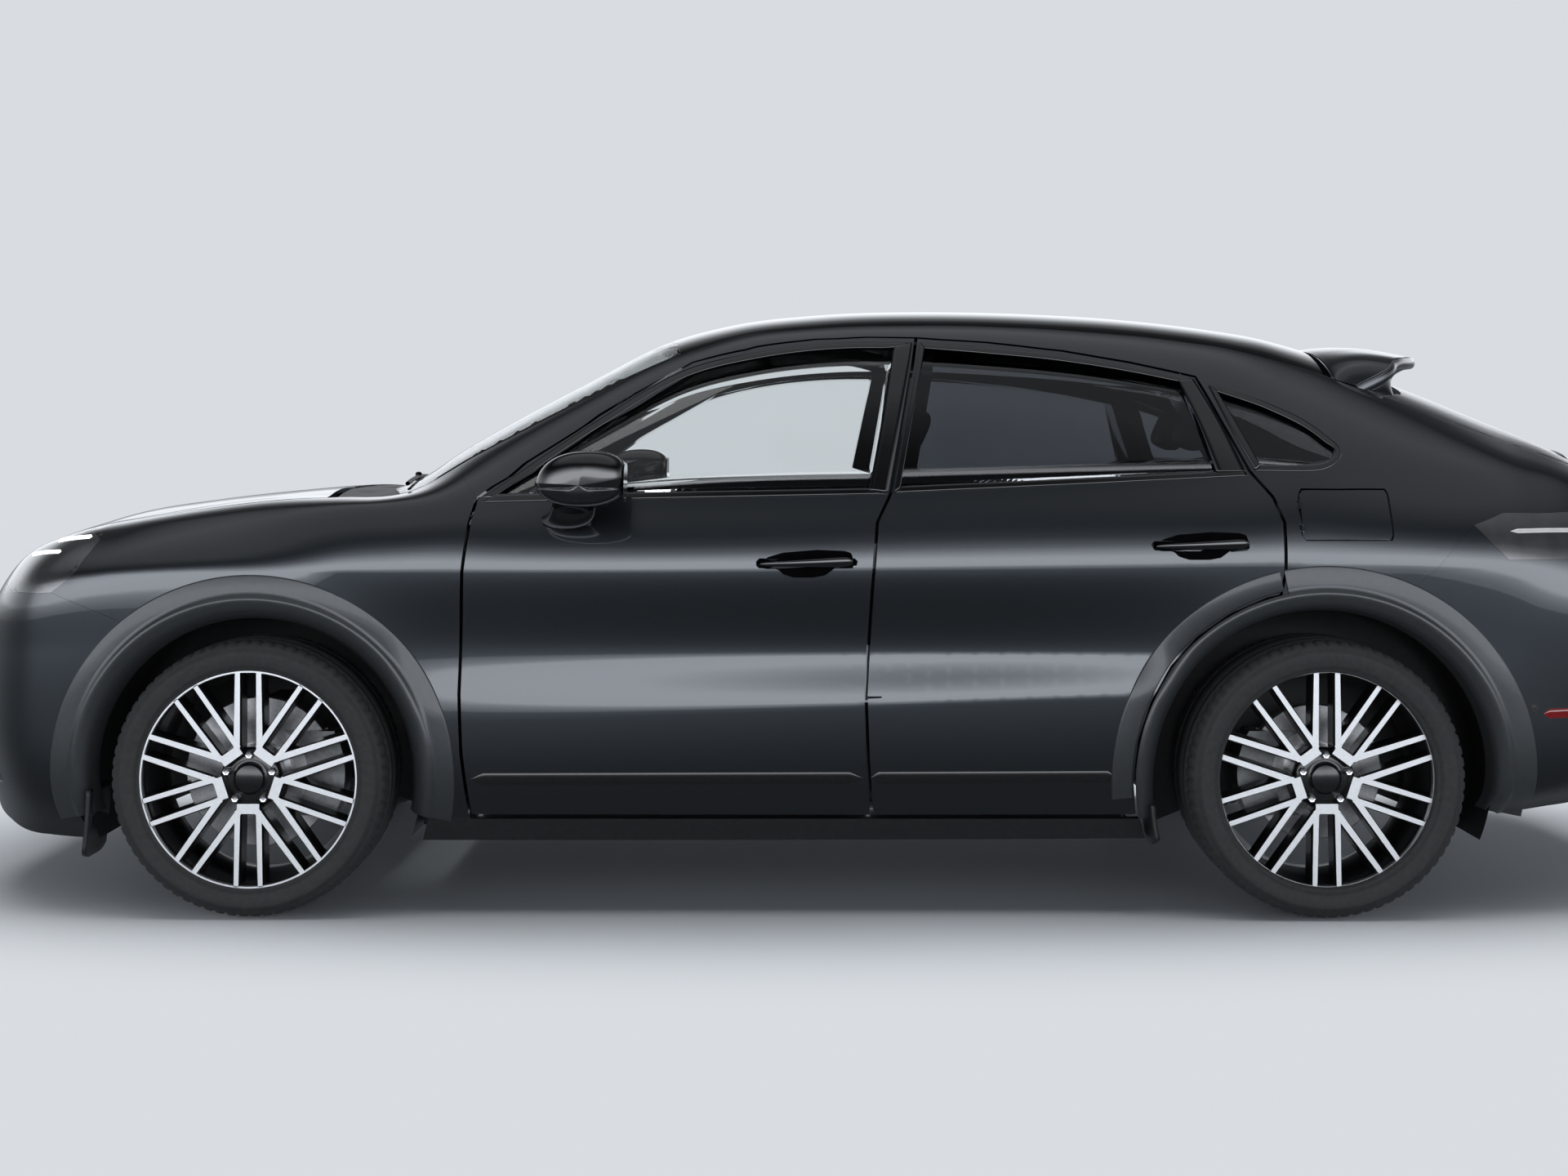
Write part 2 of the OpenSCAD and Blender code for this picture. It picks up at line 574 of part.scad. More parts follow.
// Floor, front bulkhead, raised rear floor and front rails
floor_z = height * 0.128;
floor_t = 40;
rear_floor_z = height * 0.27;
floor_w = half_w * 0.76;
bulkhead_w = half_w * 0.48;
rear_floor_w = half_w * 0.6;
bulkhead_x = station_x(1.15);
rail_w = 70;
arm_root_y = half_w * 0.4;
rail_y = arm_root_y + rail_w / 2 + nudge;
pad_l = 120;
pad_w = 60;
pad_z = height * 0.118;
pad_y = half_w * 0.7;
pad_shares = [1.22, 1.78];
module floor_pan() {
    color(satin_dark) union() {
        for (side = [-1, 1], s = pad_shares)
            translate([station_x(s) - pad_l / 2, side * pad_y - pad_w / 2, pad_z])
                cube([pad_l, pad_w, floor_z - pad_z + floor_t / 2]);
        translate([bulkhead_x, -floor_w, floor_z]) cube([station_x(1.82) - bulkhead_x, floor_w * 2, floor_t]);
        translate([bulkhead_x, -bulkhead_w, floor_z]) cube([floor_t, bulkhead_w * 2, height * 0.5]);
        translate([station_x(1.8), -rear_floor_w, floor_z])
            cube([floor_t, rear_floor_w * 2, rear_floor_z - floor_z + floor_t]);
        translate([station_x(1.8), -rear_floor_w, rear_floor_z])
            cube([station_x(2.85) - station_x(1.8), rear_floor_w * 2, floor_t]);
        for (side = [-1, 1])
            translate([station_x(0.16), side * rail_y - rail_w / 2, height * 0.26])
                cube([bulkhead_x - station_x(0.16) + floor_t / 2, rail_w, rail_w]);
    }
}

// Front and rear crash beams, the front one with a socket for a towing eye
beam_h = 90;
beam_t = 60;
eye_r = 10;
eye_depth = 45;
beam_w = half_w * 0.9;
beam_z = height * 0.2555;
eye_y = half_w * 0.2;
eye_share = 0.5;
front_beam_x = station_x(0.16);
rear_beam_x = station_x(2.85);
module crash_beams() {
    color(steel) {
        difference() {
            translate([front_beam_x - beam_t, -beam_w / 2, beam_z]) cube([beam_t, beam_w, beam_h]);
            translate([front_beam_x - beam_t, -eye_y, beam_z + beam_h * eye_share])
                rotate([0, 90, 0]) cylinder(r = eye_r, h = eye_depth);
        }
        translate([rear_beam_x, -beam_w / 2, rear_floor_z - floor_t]) cube([beam_t, beam_w, beam_h]);
    }
}

module roof_panel() {
    color(gloss_black) union() {
        difference() {
            intersection() {
                body_wall(0, lid_t);
                top_band(windshield_top, tailgate_front, -nudge);
            }
            plan_slot(windshield_top, seam);
            plan_slot(tailgate_front, lid_gap);
        }
        for (side = [-1, 1])
            lid_lug(tailgate_pin, side * tailgate_pin_y + bracket_offset, -lid_lug_l,
                bracket_w);
    }
}

module windshield() {
    color(clear_tint) difference() {
        intersection() {
            body_wall(0, glass_t);
            top_band(windshield_base, windshield_top, -nudge);
        }
        plan_slot(windshield_base, seam);
        plan_slot(windshield_top, seam);
    }
}

module cowl_panel() {
    color(satin_dark) union() {
        difference() {
            intersection() {
                body_wall(0, lid_t);
                top_band(hood_back, windshield_base, -nudge);
            }
            plan_slot(hood_back, lid_gap);
            plan_slot(windshield_base, seam);
        }
        for (side = [-1, 1])
            lid_lug(hood_pin, side * hood_pin_y + bracket_offset, lid_lug_l, bracket_w);
    }
}

module quarter_windows() {
    color(dark_tint) both_sides() side_glass(quarter_window);
}

module front_fenders() {
    color(paint) both_sides() difference() {
        intersection() {
            body_wall(0, panel_t);
            outboard(0.4);
            side_prism(fender_outline);
        }
        side_slot(fender_back, shut_gap);
        side_slot(side_points(bumper_cut_shares), seam);
        side_slot(side_points(lamp_back_shares), seam);
        top_band(front_line_end, back_line_end, nudge);
        hood_room(shut_gap / 2);
        wheel_bore(front_axle_x, front_arch_r + arch_trim_w + nudge);
    }
}

// Intakes of the front bumper: middle half width and heights, and the outer ones
intake_w = half_w * 0.47;
intake_z = [height * 0.2, height * 0.315];
upper_intake_z = [height * 0.375, height * 0.43];
side_intake_y = [half_w * 0.58, half_w * 0.78];
module intake_openings(grow = 0) {
    translate([-overrun, -intake_w - grow, intake_z[0] - grow])
        cube([overrun, intake_w * 2 + grow * 2, intake_z[1] - intake_z[0] + grow * 2]);
    translate([-overrun, -intake_w - grow, upper_intake_z[0] - grow])
        cube([overrun, intake_w * 2 + grow * 2, upper_intake_z[1] - upper_intake_z[0] + grow * 2]);
    for (side = [-1, 1])
        translate([-overrun, side * (side_intake_y[0] + side_intake_y[1]) / 2
            - (side_intake_y[1] - side_intake_y[0]) / 2 - grow, intake_z[0] - grow])
            cube([overrun + nose_x * 0.86, side_intake_y[1] - side_intake_y[0] + grow * 2,
                upper_intake_z[1] - intake_z[0] + grow * 2]);
}

module front_bumper() {
    color(paint) difference() {
        intersection() {
            body_wall(0, panel_t);
            union() both_sides() side_prism(front_bumper_outline);
        }
        both_sides() side_slot(loop(front_bumper_outline), seam);
        both_sides() wheel_bore(front_axle_x, front_arch_r + arch_trim_w + nudge);
        intake_openings();
    }
}

// Slats across the intakes
slat_h = 12;
slat_count = 7;
module grille() {
    pitch = (upper_intake_z[1] - intake_z[0]) / slat_count;
    color(satin_dark) intersection() {
        body_wall(panel_t / 3, panel_t);
        intake_openings(-nudge);
        union() {
            for (i = [0 : slat_count])
                hull() for (side = [-1, 1])
                    translate([-overrun, side * half_w, intake_z[0] + pitch * i - slat_h / 2])
                        cube([overrun, slat_h, slat_h]);
        }
    }
}

module headlamps() {
    color(lamp_white) both_sides() difference() {
        intersection() {
            body_wall(0, panel_t * 2);
            outboard(0.38);
            side_prism(headlamp_outline);
        }
        side_slot(loop(headlamp_outline), seam);
        hood_room(shut_gap / 2);
        behind(station_x(0.52));
    }
}

// Pins of the hood and the tailgate lie in the gaps behind and in front of them
lid_lug_r = 7;
lid_lug_w = 20;
lid_lug_l = 44;
bracket_w = 8;
bracket_offset = lid_lug_w / 2 + nudge * 2 + bracket_w / 2;
hood_pin_y = half_w * 0.2;
hood_pin = [station_x(1.0415), height * 0.6745];
tailgate_pin_y = half_w * 0.07;
tailgate_pin = [station_x(2.0968), height * 0.9285];

// Lug on a lid or bracket on the panel beside it, reaching from a pin into the panel
module lid_lug(at, y, reach, w) {
    hull() {
        translate([at[0], y + w / 2, at[1]]) rotate([90, 0, 0]) cylinder(r = lid_lug_r, h = w, $fn = 24);
        translate([at[0] + reach - lid_lug_r, y - w / 2, at[1] - lid_lug_r * 2])
            cube([lid_lug_r * 2, w, lid_lug_r * 2]);
    }
}

module lid_pin_hole(at) {
    translate([at[0], half_w / 2, at[1]]) rotate([90, 0, 0])
        cylinder(r = hinge_pin_r + pin_clearance, h = half_w, $fn = 24);
}

module lid_pin(at, y) {
    translate([at[0], y + lid_lug_w / 2 + nudge * 2, at[1]]) rotate([90, 0, 0])
        cylinder(r = hinge_pin_r, h = lid_lug_w + nudge * 2);
}

module hood() {
    color(paint) difference() {
        union() {
            difference() {
                intersection() {
                    body_wall(0, lid_t);
                    hood_room(-shut_gap / 2);
                }
                plan_slot(hood_back, lid_gap);
            }
            for (side = [-1, 1]) lid_lug(hood_pin, side * hood_pin_y, -lid_lug_l, lid_lug_w);
        }
        lid_pin_hole(hood_pin);
    }
}

module rear_bumper() {
    color(paint) difference() {
        intersection() {
            body_wall(0, panel_t);
            union() both_sides() side_prism(rear_bumper_outline);
        }
        both_sides() side_slot(concat(side_points(rear_cut_shares), [station_side(2.403, 0.596),
            station_side(2.438, 0.573), station_side(3.2, 0.573)]), seam);
        both_sides() wheel_bore(rear_axle_x, rear_arch_r + arch_trim_w + nudge);
        tailgate_room(shut_gap / 2);
        exhaust_openings();
    }
}

exhaust_r = 45;
exhaust_wall = 4;
exhaust_l = 160;
exhaust_z = height * 0.232;
exhaust_y = half_w * 0.56;
module exhaust_openings() {
    for (side = [-1, 1])
        translate([station_x(2.7), side * exhaust_y, exhaust_z]) rotate([0, 90, 0])
            cylinder(r = exhaust_r + nudge, h = rear_overhang, $fn = 48);
}

module exhaust_tips() {
    color(steel) for (side = [-1, 1])
        translate([station_x(2.955) - exhaust_l, side * exhaust_y, exhaust_z]) rotate([0, 90, 0])
            difference() {
                cylinder(r = exhaust_r, h = exhaust_l);
                translate([0, 0, exhaust_l / 4]) cylinder(r = exhaust_r - exhaust_wall, h = exhaust_l);
            }
}

module tail_lamps() {
    color(lamp_red) both_sides() difference() {
        intersection() {
            body_wall(0, panel_t * 2);
            side_prism(tail_lamp_outline);
        }
        side_slot(loop(tail_lamp_outline), seam);
        side_slot(side_points(rear_cut_shares), seam);
        tailgate_room(shut_gap / 2);
    }
}

module tailgate() {
    color(paint) difference() {
        union() {
            difference() {
                intersection() {
                    body_wall(0, lid_t);
                    tailgate_room(-shut_gap / 2);
                }
                plan_slot(tailgate_front, lid_gap);
            }
            for (side = [-1, 1]) lid_lug(tailgate_pin, side * tailgate_pin_y, lid_lug_l, lid_lug_w);
        }
        lid_pin_hole(tailgate_pin);
        intersection() {
            plan_prism(rear_window_outline);
            above(belt_z * 0.9);
        }
        difference() {
            union() both_sides() side_prism(tail_lamp_outline);
            body_form(lid_t / 2);
            below(0);
        }
    }
}

module rear_window() {
    color(dark_tint) difference() {
        intersection() {
            body_wall(glass_inset / 2, glass_inset / 2 + glass_t);
            plan_prism(rear_window_outline);
            above(belt_z * 0.9);
        }
        plan_slot(rear_window_outline, seam);
    }
}

module light_bar() {
    color(lamp_red) difference() {
        intersection() {
            body_wall(0, lid_t / 2 - nudge);
            union() both_sides() side_prism(tail_lamp_outline);
            tailgate_room(-shut_gap / 2);
        }
        both_sides() side_slot(loop(tail_lamp_outline), seam);
    }
}

// Roof spoiler: a wing seated on the tailgate. Each row holds a half width, the station and height of its
// trailing edge, and the heights of its root and heel inside the tailgate
spoiler_t = 13;
spoiler_root_share = 2.152;
spoiler_heel_share = 2.26;
spoiler_shares = [[0, 2.42, 0.906, 0.916, 0.889], [0.166, 2.418, 0.904, 0.913, 0.886],
    [0.333, 2.41, 0.891, 0.903, 0.875], [0.471, 2.395, 0.871, 0.883, 0.855],
    [0.552, 2.365, 0.853, 0.862, 0.835]];
module spoiler_rib(p) {
    for (q = [[p[1], p[2]], [spoiler_root_share, p[3]], [spoiler_heel_share, p[4]]])
        translate([station_x(q[0]), -p[0] * half_w, q[1] * height]) sphere(d = spoiler_t, $fn = 12);
}
module roof_spoiler() {
    color(paint) difference() {
        both_sides() for (i = [0 : len(spoiler_shares) - 2])
            hull() for (p = [spoiler_shares[i], spoiler_shares[i + 1]]) spoiler_rib(p);
        body_form(-nudge);
    }
}

module sill_trims() {
    color(satin_dark) both_sides() difference() {
        intersection() {
            body_wall(0, sill_trim_t);
            outboard(0.8);
            side_prism([station_side(1.1, 0.05), station_side(1.1, 0.157), station_side(1.203, 0.157),
                station_side(1.203, 0.154), station_side(1.9, 0.154), station_side(1.9, 0.05)]);
        }
        wheel_bore(front_axle_x, front_arch_r + arch_trim_w + nudge);
        wheel_bore(rear_axle_x, rear_arch_r + arch_trim_w + nudge);
        side_slot(loop(front_door_outline), shut_gap);
    }
}

// Ring of short straight pieces round a wheel, seen from the side
arch_step = 12;
arch_from = -24;
arch_to = 204;
module arch_ring(x, r) {
    for (a = [arch_from : arch_step : arch_to - arch_step])
        hull() for (b = [a, a + arch_step])
            translate([x, -half_w * 2, tyre_r]) rotate([0, -b, 0]) translate([r, 0, -nudge / 2])
                cube([arch_trim_w, half_w * 1.3, nudge]);
}
module arch_trim(x, r) {
    difference() {
        intersection() {
            body_wall(-skin_t * 2, sill_trim_t);
            arch_ring(x, r);
        }
        below(height * 0.157);
    }
}

module arch_trims() {
    color(satin_dark) both_sides() {
        arch_trim(front_axle_x, front_arch_r);
        arch_trim(rear_axle_x, rear_arch_r);
    }
}

// Half-round liners inside the arches
liner_t = 4;
front_liner_y = half_w * 0.49;
rear_liner_y = half_w * 0.62;
front_liner_out_y = half_w * 0.835;
rear_liner_out_y = half_w * 0.9;
module wheel_liner(x, r, inner_y, outer_y) {
    translate([x, 0, tyre_r]) rotate([90, 0, 0]) translate([0, 0, inner_y])
        rotate_extrude(angle = 180) translate([r, 0]) square([liner_t, outer_y - inner_y]);
}
module wheel_liners() {
    color(rubber) both_sides() {
        wheel_liner(front_axle_x, front_arch_r + arch_trim_w / 2, front_liner_y, front_liner_out_y);
        wheel_liner(rear_axle_x, rear_arch_r + arch_trim_w / 2, rear_liner_y, rear_liner_out_y);
    }
}

// Flap hinges: an inclined pin in two places behind the flap's front edge
flap_pin_inset = 3.5;
flap_pin = [station_x(1.978) + flap_pin_inset, -half_w * 0.9365, height * 0.6436];
flap_tilt = -23.14;
flap_pin_r = 1.5;
flap_lug_r = 2.8;
flap_lug_l = 14;
flap_ear_l = 6;
flap_reach = 8;
flap_lug_pitch = 70;
module at_flap_hinges() {
    for (end = [-1, 1])
        translate(flap_pin) rotate([flap_tilt, 0, 0]) translate([0, 0, end * flap_lug_pitch / 2]) children();
}
module flap_lug() {
    difference() {
        union() {
            cylinder(r = flap_lug_r, h = flap_lug_l, center = true, $fn = 8);
            translate([0, -flap_pin_r, -flap_lug_l / 2]) cube([flap_reach, flap_pin_r * 2, flap_lug_l]);
        }
        cylinder(r = flap_pin_r + pin_clearance, h = flap_lug_l * 2, center = true, $fn = 8);
    }
}
module flap_ears() {
    for (end = [-1, 1]) translate([0, 0, end * (flap_lug_l + flap_ear_l) / 2]) hull() {
        cylinder(r = flap_pin_r, h = flap_ear_l - nudge * 2, center = true, $fn = 8);
        translate([-flap_reach, 0, 0])
            cylinder(r = flap_pin_r, h = flap_ear_l - nudge * 2, center = true, $fn = 8);
    }
}
module flap() {
    color(paint) union() {
        difference() {
            intersection() {
                body_wall(0, glass_t);
                side_prism(flap_outline);
            }
            side_slot(loop(flap_outline), shut_gap * 1.2);
            at_flap_hinges() cylinder(r = flap_lug_r, h = flap_lug_l + flap_ear_l * 2 + nudge * 4,
                center = true, $fn = 8);
        }
        at_flap_hinges() flap_lug();
    }
}
module charge_flap() { flap(); }
module fuel_flap() { mirror([0, 1, 0]) flap(); }

module hinge_pins() {
    color(steel) both_sides() {
        for (z = front_hinge_z) hinge_pin(front_pin_x, front_pin_y, z);
        for (z = rear_hinge_z) hinge_pin(rear_pin_x, rear_pin_y, z);
    }
    color(steel) for (side = [-1, 1]) {
        lid_pin(hood_pin, side * hood_pin_y);
        lid_pin(tailgate_pin, side * tailgate_pin_y);
    }
    color(steel) both_sides() at_flap_hinges() cylinder(r = flap_pin_r, h = flap_lug_l, center = true);
}

module door_front_left() { front_door(); }
module door_front_right() { mirror([0, 1, 0]) front_door(); }
module door_rear_left() { rear_door(); }
module door_rear_right() { mirror([0, 1, 0]) rear_door(); }
module glass_front_left() { color(clear_tint) side_glass(front_window); }
module glass_front_right() { color(clear_tint) mirror([0, 1, 0]) side_glass(front_window); }
module glass_rear_left() { color(dark_tint) side_glass(rear_side_window); }
module glass_rear_right() { color(dark_tint) mirror([0, 1, 0]) side_glass(rear_side_window); }

// Door mirror: a rounded shell on a foot at the door's front corner
mirror_x = station_x(1.31);
mirror_y = half_w * 1.03;
mirror_z = height * 0.69;
mirror_l = 110;
mirror_w = 75;
mirror_h = 62;
mirror_edge = 40;
module door_mirror() {
    color(gloss_black) union() {
        hull() {
            for (dx = [-1, 1], dy = [-1, 1], dz = [-1, 1])
                translate([mirror_x + dx * (mirror_l - mirror_edge) * (1 - 0.2 * dz * dx),
                    -mirror_y + dy * (mirror_w - mirror_edge), mirror_z + dz * (mirror_h - mirror_edge)])
                    sphere(r = mirror_edge, $fn = 16);
        }
        hull() {
            translate([mirror_x, -mirror_y + mirror_w / 2, mirror_z - mirror_h / 2])
                sphere(r = mirror_edge / 2, $fn = 12);
            translate([mirror_x - mirror_l / 2, -half_w * 0.9295, height * 0.642])
                sphere(r = mirror_edge / 2, $fn = 12);
        }
    }
}
module mirror_left() { door_mirror(); }
module mirror_right() { mirror([0, 1, 0]) door_mirror(); }

// Engine as one plain block on the front axle frame
engine_l = 700;
engine_w = 620;
engine_h = 520;
frame_top_z = height * 0.195;
axle_frame_h = 70;
module engine_block() {
    color(cast_grey) translate([front_axle_x - engine_l * 0.55, -engine_w / 2, frame_top_z])
        cube([engine_l, engine_w, engine_h]);
}

// Front axle frame with the arms that carry the steering knuckles
steer_inset = 100;
steer_y = wheel_y - steer_inset;
arm_reach = 170;
arm_t = 26;
arm_half_w = 34;
eye_pin_r = 14;
eye_pin_l = 40;
module front_axle() {
    color(cast_grey) union() {
        translate([front_axle_x - engine_l * 0.35, -arm_root_y, frame_top_z - axle_frame_h])
            cube([engine_l * 0.7, arm_root_y * 2, axle_frame_h]);
        for (side = [-1, 1], up = [-1, 1]) {
            translate([front_axle_x - arm_half_w, min(side * steer_y, side * arm_root_y * 0.8),
                tyre_r + up * arm_reach - arm_t / 2])
                cube([arm_half_w * 2, steer_y - arm_root_y * 0.8, arm_t]);
            translate([front_axle_x, side * steer_y, tyre_r + up * arm_reach - arm_t / 2])
                cylinder(r = arm_half_w, h = arm_t);
            translate([front_axle_x, side * steer_y, tyre_r + up * arm_reach - (up > 0 ? eye_pin_l : 0)])
                cylinder(r = eye_pin_r, h = eye_pin_l);
        }
        for (side = [-1, 1])
            translate([front_axle_x - arm_half_w, side * arm_root_y * 0.9 - arm_root_y * 0.1,
                tyre_r - arm_reach - arm_t / 2])
                cube([arm_half_w * 2, arm_root_y * 0.2, arm_reach * 2 + arm_t]);
    }
}

// Brake calliper over the edge of a disc: along gives the side of the axle it sits on
calliper_w = 96;
calliper_h = 230;
disc_t = 34;
disc_inset = 30;
disc_y = wheel_y - disc_inset;
calliper_over = 32;
calliper_slot = 4;
module calliper(x, disc_r, along) {
    color(cast_grey) translate([x, -disc_y, tyre_r]) rotate([90, 0, 0]) difference() {
        translate([0, 0, -calliper_w / 2]) linear_extrude(calliper_w) intersection() {
            difference() {
                circle(r = disc_r + calliper_over);
                circle(r = disc_r * 0.66);
            }
            translate([along > 0 ? 0 : -overrun, -calliper_h / 2]) square([overrun, calliper_h]);
        }
        translate([0, 0, -disc_t / 2 - calliper_slot])
            cylinder(r = disc_r + calliper_slot * 1.5, h = disc_t + calliper_slot * 2);
    }
}

// Steering knuckle with its stub axle and calliper
stub_r = 32;
hub_offset = 48;
hub_y = wheel_y + hub_offset;
lug_t = 30;
bracket_t = 14;
disc_clearance = 5;
bracket_y = disc_y - disc_t / 2 - disc_clearance;
module knuckle() {
    low_z = tyre_r - arm_reach + arm_t / 2 + pin_clearance;
    high_z = tyre_r + arm_reach - arm_t / 2 - pin_clearance;
    color(cast_grey) union() {
        difference() {
            union() {
                translate([front_axle_x, -steer_y, low_z]) cylinder(r = arm_half_w, h = lug_t);
                translate([front_axle_x, -steer_y, high_z - lug_t]) cylinder(r = arm_half_w, h = lug_t);
                translate([front_axle_x - arm_half_w, -steer_y, low_z + lug_t / 2])
                    cube([arm_half_w * 2, arm_half_w, high_z - low_z - lug_t]);
            }
            for (z = [low_z, high_z - lug_t])
                translate([front_axle_x, -steer_y, z - overrun / 2])
                    cylinder(r = eye_pin_r + pin_clearance, h = overrun);
        }
        translate([front_axle_x, -steer_y + arm_half_w / 2, tyre_r]) rotate([90, 0, 0])
            cylinder(r = stub_r, h = hub_y - steer_y + arm_half_w / 2 - nudge);
        translate([front_axle_x, -bracket_y, tyre_r - calliper_h / 5])
            cube([front_disc_r, bracket_t, calliper_h / 2.5]);
        translate([front_axle_x, -bracket_y, tyre_r - calliper_h / 5])
            cube([arm_half_w, bracket_y - steer_y + bracket_t, calliper_h / 2.5]);
        calliper(front_axle_x, front_disc_r, 1);
    }
}
module knuckle_left() { knuckle(); }
module knuckle_right() { mirror([0, 1, 0]) knuckle(); }

// Rear axle frame, arms, stub axles and callipers
module rear_axle() {
    color(cast_grey) union() {
        translate([rear_axle_x - engine_l * 0.3, -rear_floor_w * 0.8, frame_top_z - axle_frame_h])
            cube([engine_l * 0.6, rear_floor_w * 1.6, axle_frame_h * 1.8]);
        for (side = [-1, 1]) {
            translate([rear_axle_x - arm_half_w, min(side * steer_y, 0), frame_top_z - axle_frame_h / 2])
                cube([arm_half_w * 2, steer_y, arm_t]);
            translate([rear_axle_x - arm_half_w, side * steer_y - arm_half_w / 2,
                frame_top_z - axle_frame_h / 2])
                cube([arm_half_w * 2, arm_half_w, tyre_r - frame_top_z + axle_frame_h]);
            translate([rear_axle_x, side * (steer_y - arm_half_w / 4), tyre_r]) rotate([-side * 90, 0, 0])
                cylinder(r = stub_r, h = hub_y - steer_y + arm_half_w / 4 - nudge);
            for (along = [-1, 1])
                translate([rear_axle_x + along * engine_l / 4 - rail_w / 2,
                    side * rear_floor_w * 0.7 - rail_w / 2,
                    frame_top_z]) cube([rail_w, rail_w, rear_floor_z - frame_top_z - nudge]);
            mirror([0, side > 0 ? 1 : 0, 0]) {
                translate([rear_axle_x - rear_disc_r, -bracket_y, tyre_r - calliper_h / 5])
                    cube([rear_disc_r, bracket_t, calliper_h / 2.5]);
                translate([rear_axle_x - arm_half_w, -bracket_y, tyre_r - calliper_h / 5])
                    cube([arm_half_w, bracket_y - steer_y + bracket_t, calliper_h / 2.5]);
                calliper(rear_axle_x, rear_disc_r, -1);
            }
        }
    }
}

// Seats: cushion, backrest and headrest
seat_w = 520;
seat_l = 520;
seat_t = 90;
seat_z = height * 0.33;
seat_x = station_x(1.545);
seat_y = half_w * 0.4;
back_h = 640;
recline = 22;
module seat_block(l, w, t) {
    hull() for (dx = [0, 1], dz = [0, 1])
        translate([dx * (l - t / 2) + t / 4, 0, dz * t / 2 + t / 4])
            rotate([90, 0, 0]) cylinder(r = t / 4, h = w, center = true, $fn = 8);
}
module seat(w, places, base_share) {
    place_w = w / places;
    union() {
        for (i = [0 : places - 1]) translate([0, (i - (places - 1) / 2) * place_w, 0]) {
            translate([-seat_l, 0, 0]) seat_block(seat_l, place_w + nudge, seat_t * 1.6);
            translate([-seat_t * 0.3, 0, seat_t * 0.7])
                rotate([0, recline - 90, 0]) seat_block(back_h, place_w + nudge, seat_t);
            translate([back_h * sin(recline) - seat_t * 0.4, 0, seat_t * 0.6 + back_h * cos(recline)])
                rotate([0, recline - 90, 0]) seat_block(seat_t * 2, seat_t * 2.8, seat_t);
        }
        for (side = [-1, 1]) translate([-seat_l, side * (w / 2 - seat_t / 2), seat_t * 0.4])
            seat_block(seat_l, seat_t, seat_t * 1.6);
        translate([-seat_l * 0.8, -w / 3, floor_z + floor_t + nudge - seat_z])
            cube([seat_l * base_share, w / 1.5, seat_z - floor_z - floor_t - nudge + seat_t / 2]);
    }
}
module front_seats() {
    color(leather) for (side = [-1, 1]) translate([seat_x, side * seat_y, seat_z]) seat(seat_w, 1, 0.7);
}
rear_seat_x = station_x(1.86);
rear_places = 3;
module rear_seat() {
    color(leather) translate([rear_seat_x, 0, seat_z]) seat(half_w * 1.19, rear_places, 0.44);
}

// Dashboard profile in side view, carried across the cabin, with a bore for the steering column
dash_w = half_w * 0.62;
module dashboard() {
    color(satin_dark) difference() {
        translate([bulkhead_x + floor_t + nudge, dash_w, 0]) rotate([90, 0, 0])
            linear_extrude(dash_w * 2) polygon([[0, height * 0.36], [height * 0.14, height * 0.38],
                [height * 0.2, height * 0.52], [height * 0.19, height * 0.58], [height * 0.1, height * 0.625],
                [0, height * 0.62]]);
        translate(steer_wheel_at) rotate([0, column_tilt, 0]) translate([0, 0, -column_l * 2])
            cylinder(r = column_r + nudge, h = column_l * 2);
    }
}

// Steering wheel on its column
wheel_rim_r = 180;
wheel_rim_t = 15;
column_tilt = 66;
column_l = 220;
column_r = 21;
steer_wheel_at = [station_x(1.335), -seat_y, height * 0.575];
module steering_wheel() {
    color(satin_dark) translate(steer_wheel_at) rotate([0, column_tilt, 0]) union() {
        rotate_extrude() translate([wheel_rim_r, 0]) circle(r = wheel_rim_t);
        translate([0, 0, -wheel_rim_t]) cylinder(r = wheel_rim_r * 0.38, h = wheel_rim_t * 2);
        for (a = [0, 90, 180]) rotate([0, 0, a])
            translate([0, -wheel_rim_t, -wheel_rim_t / 2]) cube([wheel_rim_r, wheel_rim_t * 2, wheel_rim_t]);
        translate([0, 0, -column_l]) cylinder(r = column_r, h = column_l);
    }
}

// Tyre section: rounded shoulders and beads on the rim
bead_r = rim_r - tyre_r * 0.03;
tyre_wall_r = tyre_r * 0.1;
module tyre(x, side, w) {
    color(rubber) translate([x, side * wheel_y, tyre_r]) rotate([90, 0, 0]) rotate_extrude() {
        translate([bead_r, -w / 2 + tyre_wall_r]) square([tyre_r - bead_r, w - tyre_wall_r * 2]);
        for (s = [-1, 1]) {
            translate([tyre_r - tyre_wall_r, s * (w / 2 - tyre_wall_r)]) circle(r = tyre_wall_r);
            translate([rim_r + nudge, s * (w / 2 - tyre_wall_r) - tyre_wall_r * 0.8])
                square([tyre_r - tyre_wall_r - rim_r - nudge, tyre_wall_r * 1.6]);
        }
    }
}

// Cross-spoke rim: barrel, hub and five groups of crossing spokes, with the brake disc behind
rim_w = 262;
barrel_t = 9;
hub_r = 78;
spoke_w = 26;
slim_spoke_w = 17;
spoke_t = 34;
bolt_circle_r = 65;
bolt_r = 12;
bolt_count = 5;
group_count = 5;
module bar(p, q, w) {
    d = (q - p) / norm(q - p);
    n = [-d[1], d[0]] * w / 2;
    polygon([p + n, q + n * 0.8, q - n * 0.8, p - n]);
}
module spoke_group() {
    land_r = rim_r * 0.965;
    slim_y = land_r * sin(6.5);
    for (s = [-1, 1]) {
        bar([hub_r * 0.8, s * hub_r * 0.2], [land_r * cos(30), s * land_r * sin(30)], spoke_w);
        bar([hub_r * 1.45, s * slim_y], [land_r * cos(6.5), s * slim_y], slim_spoke_w);
    }
}
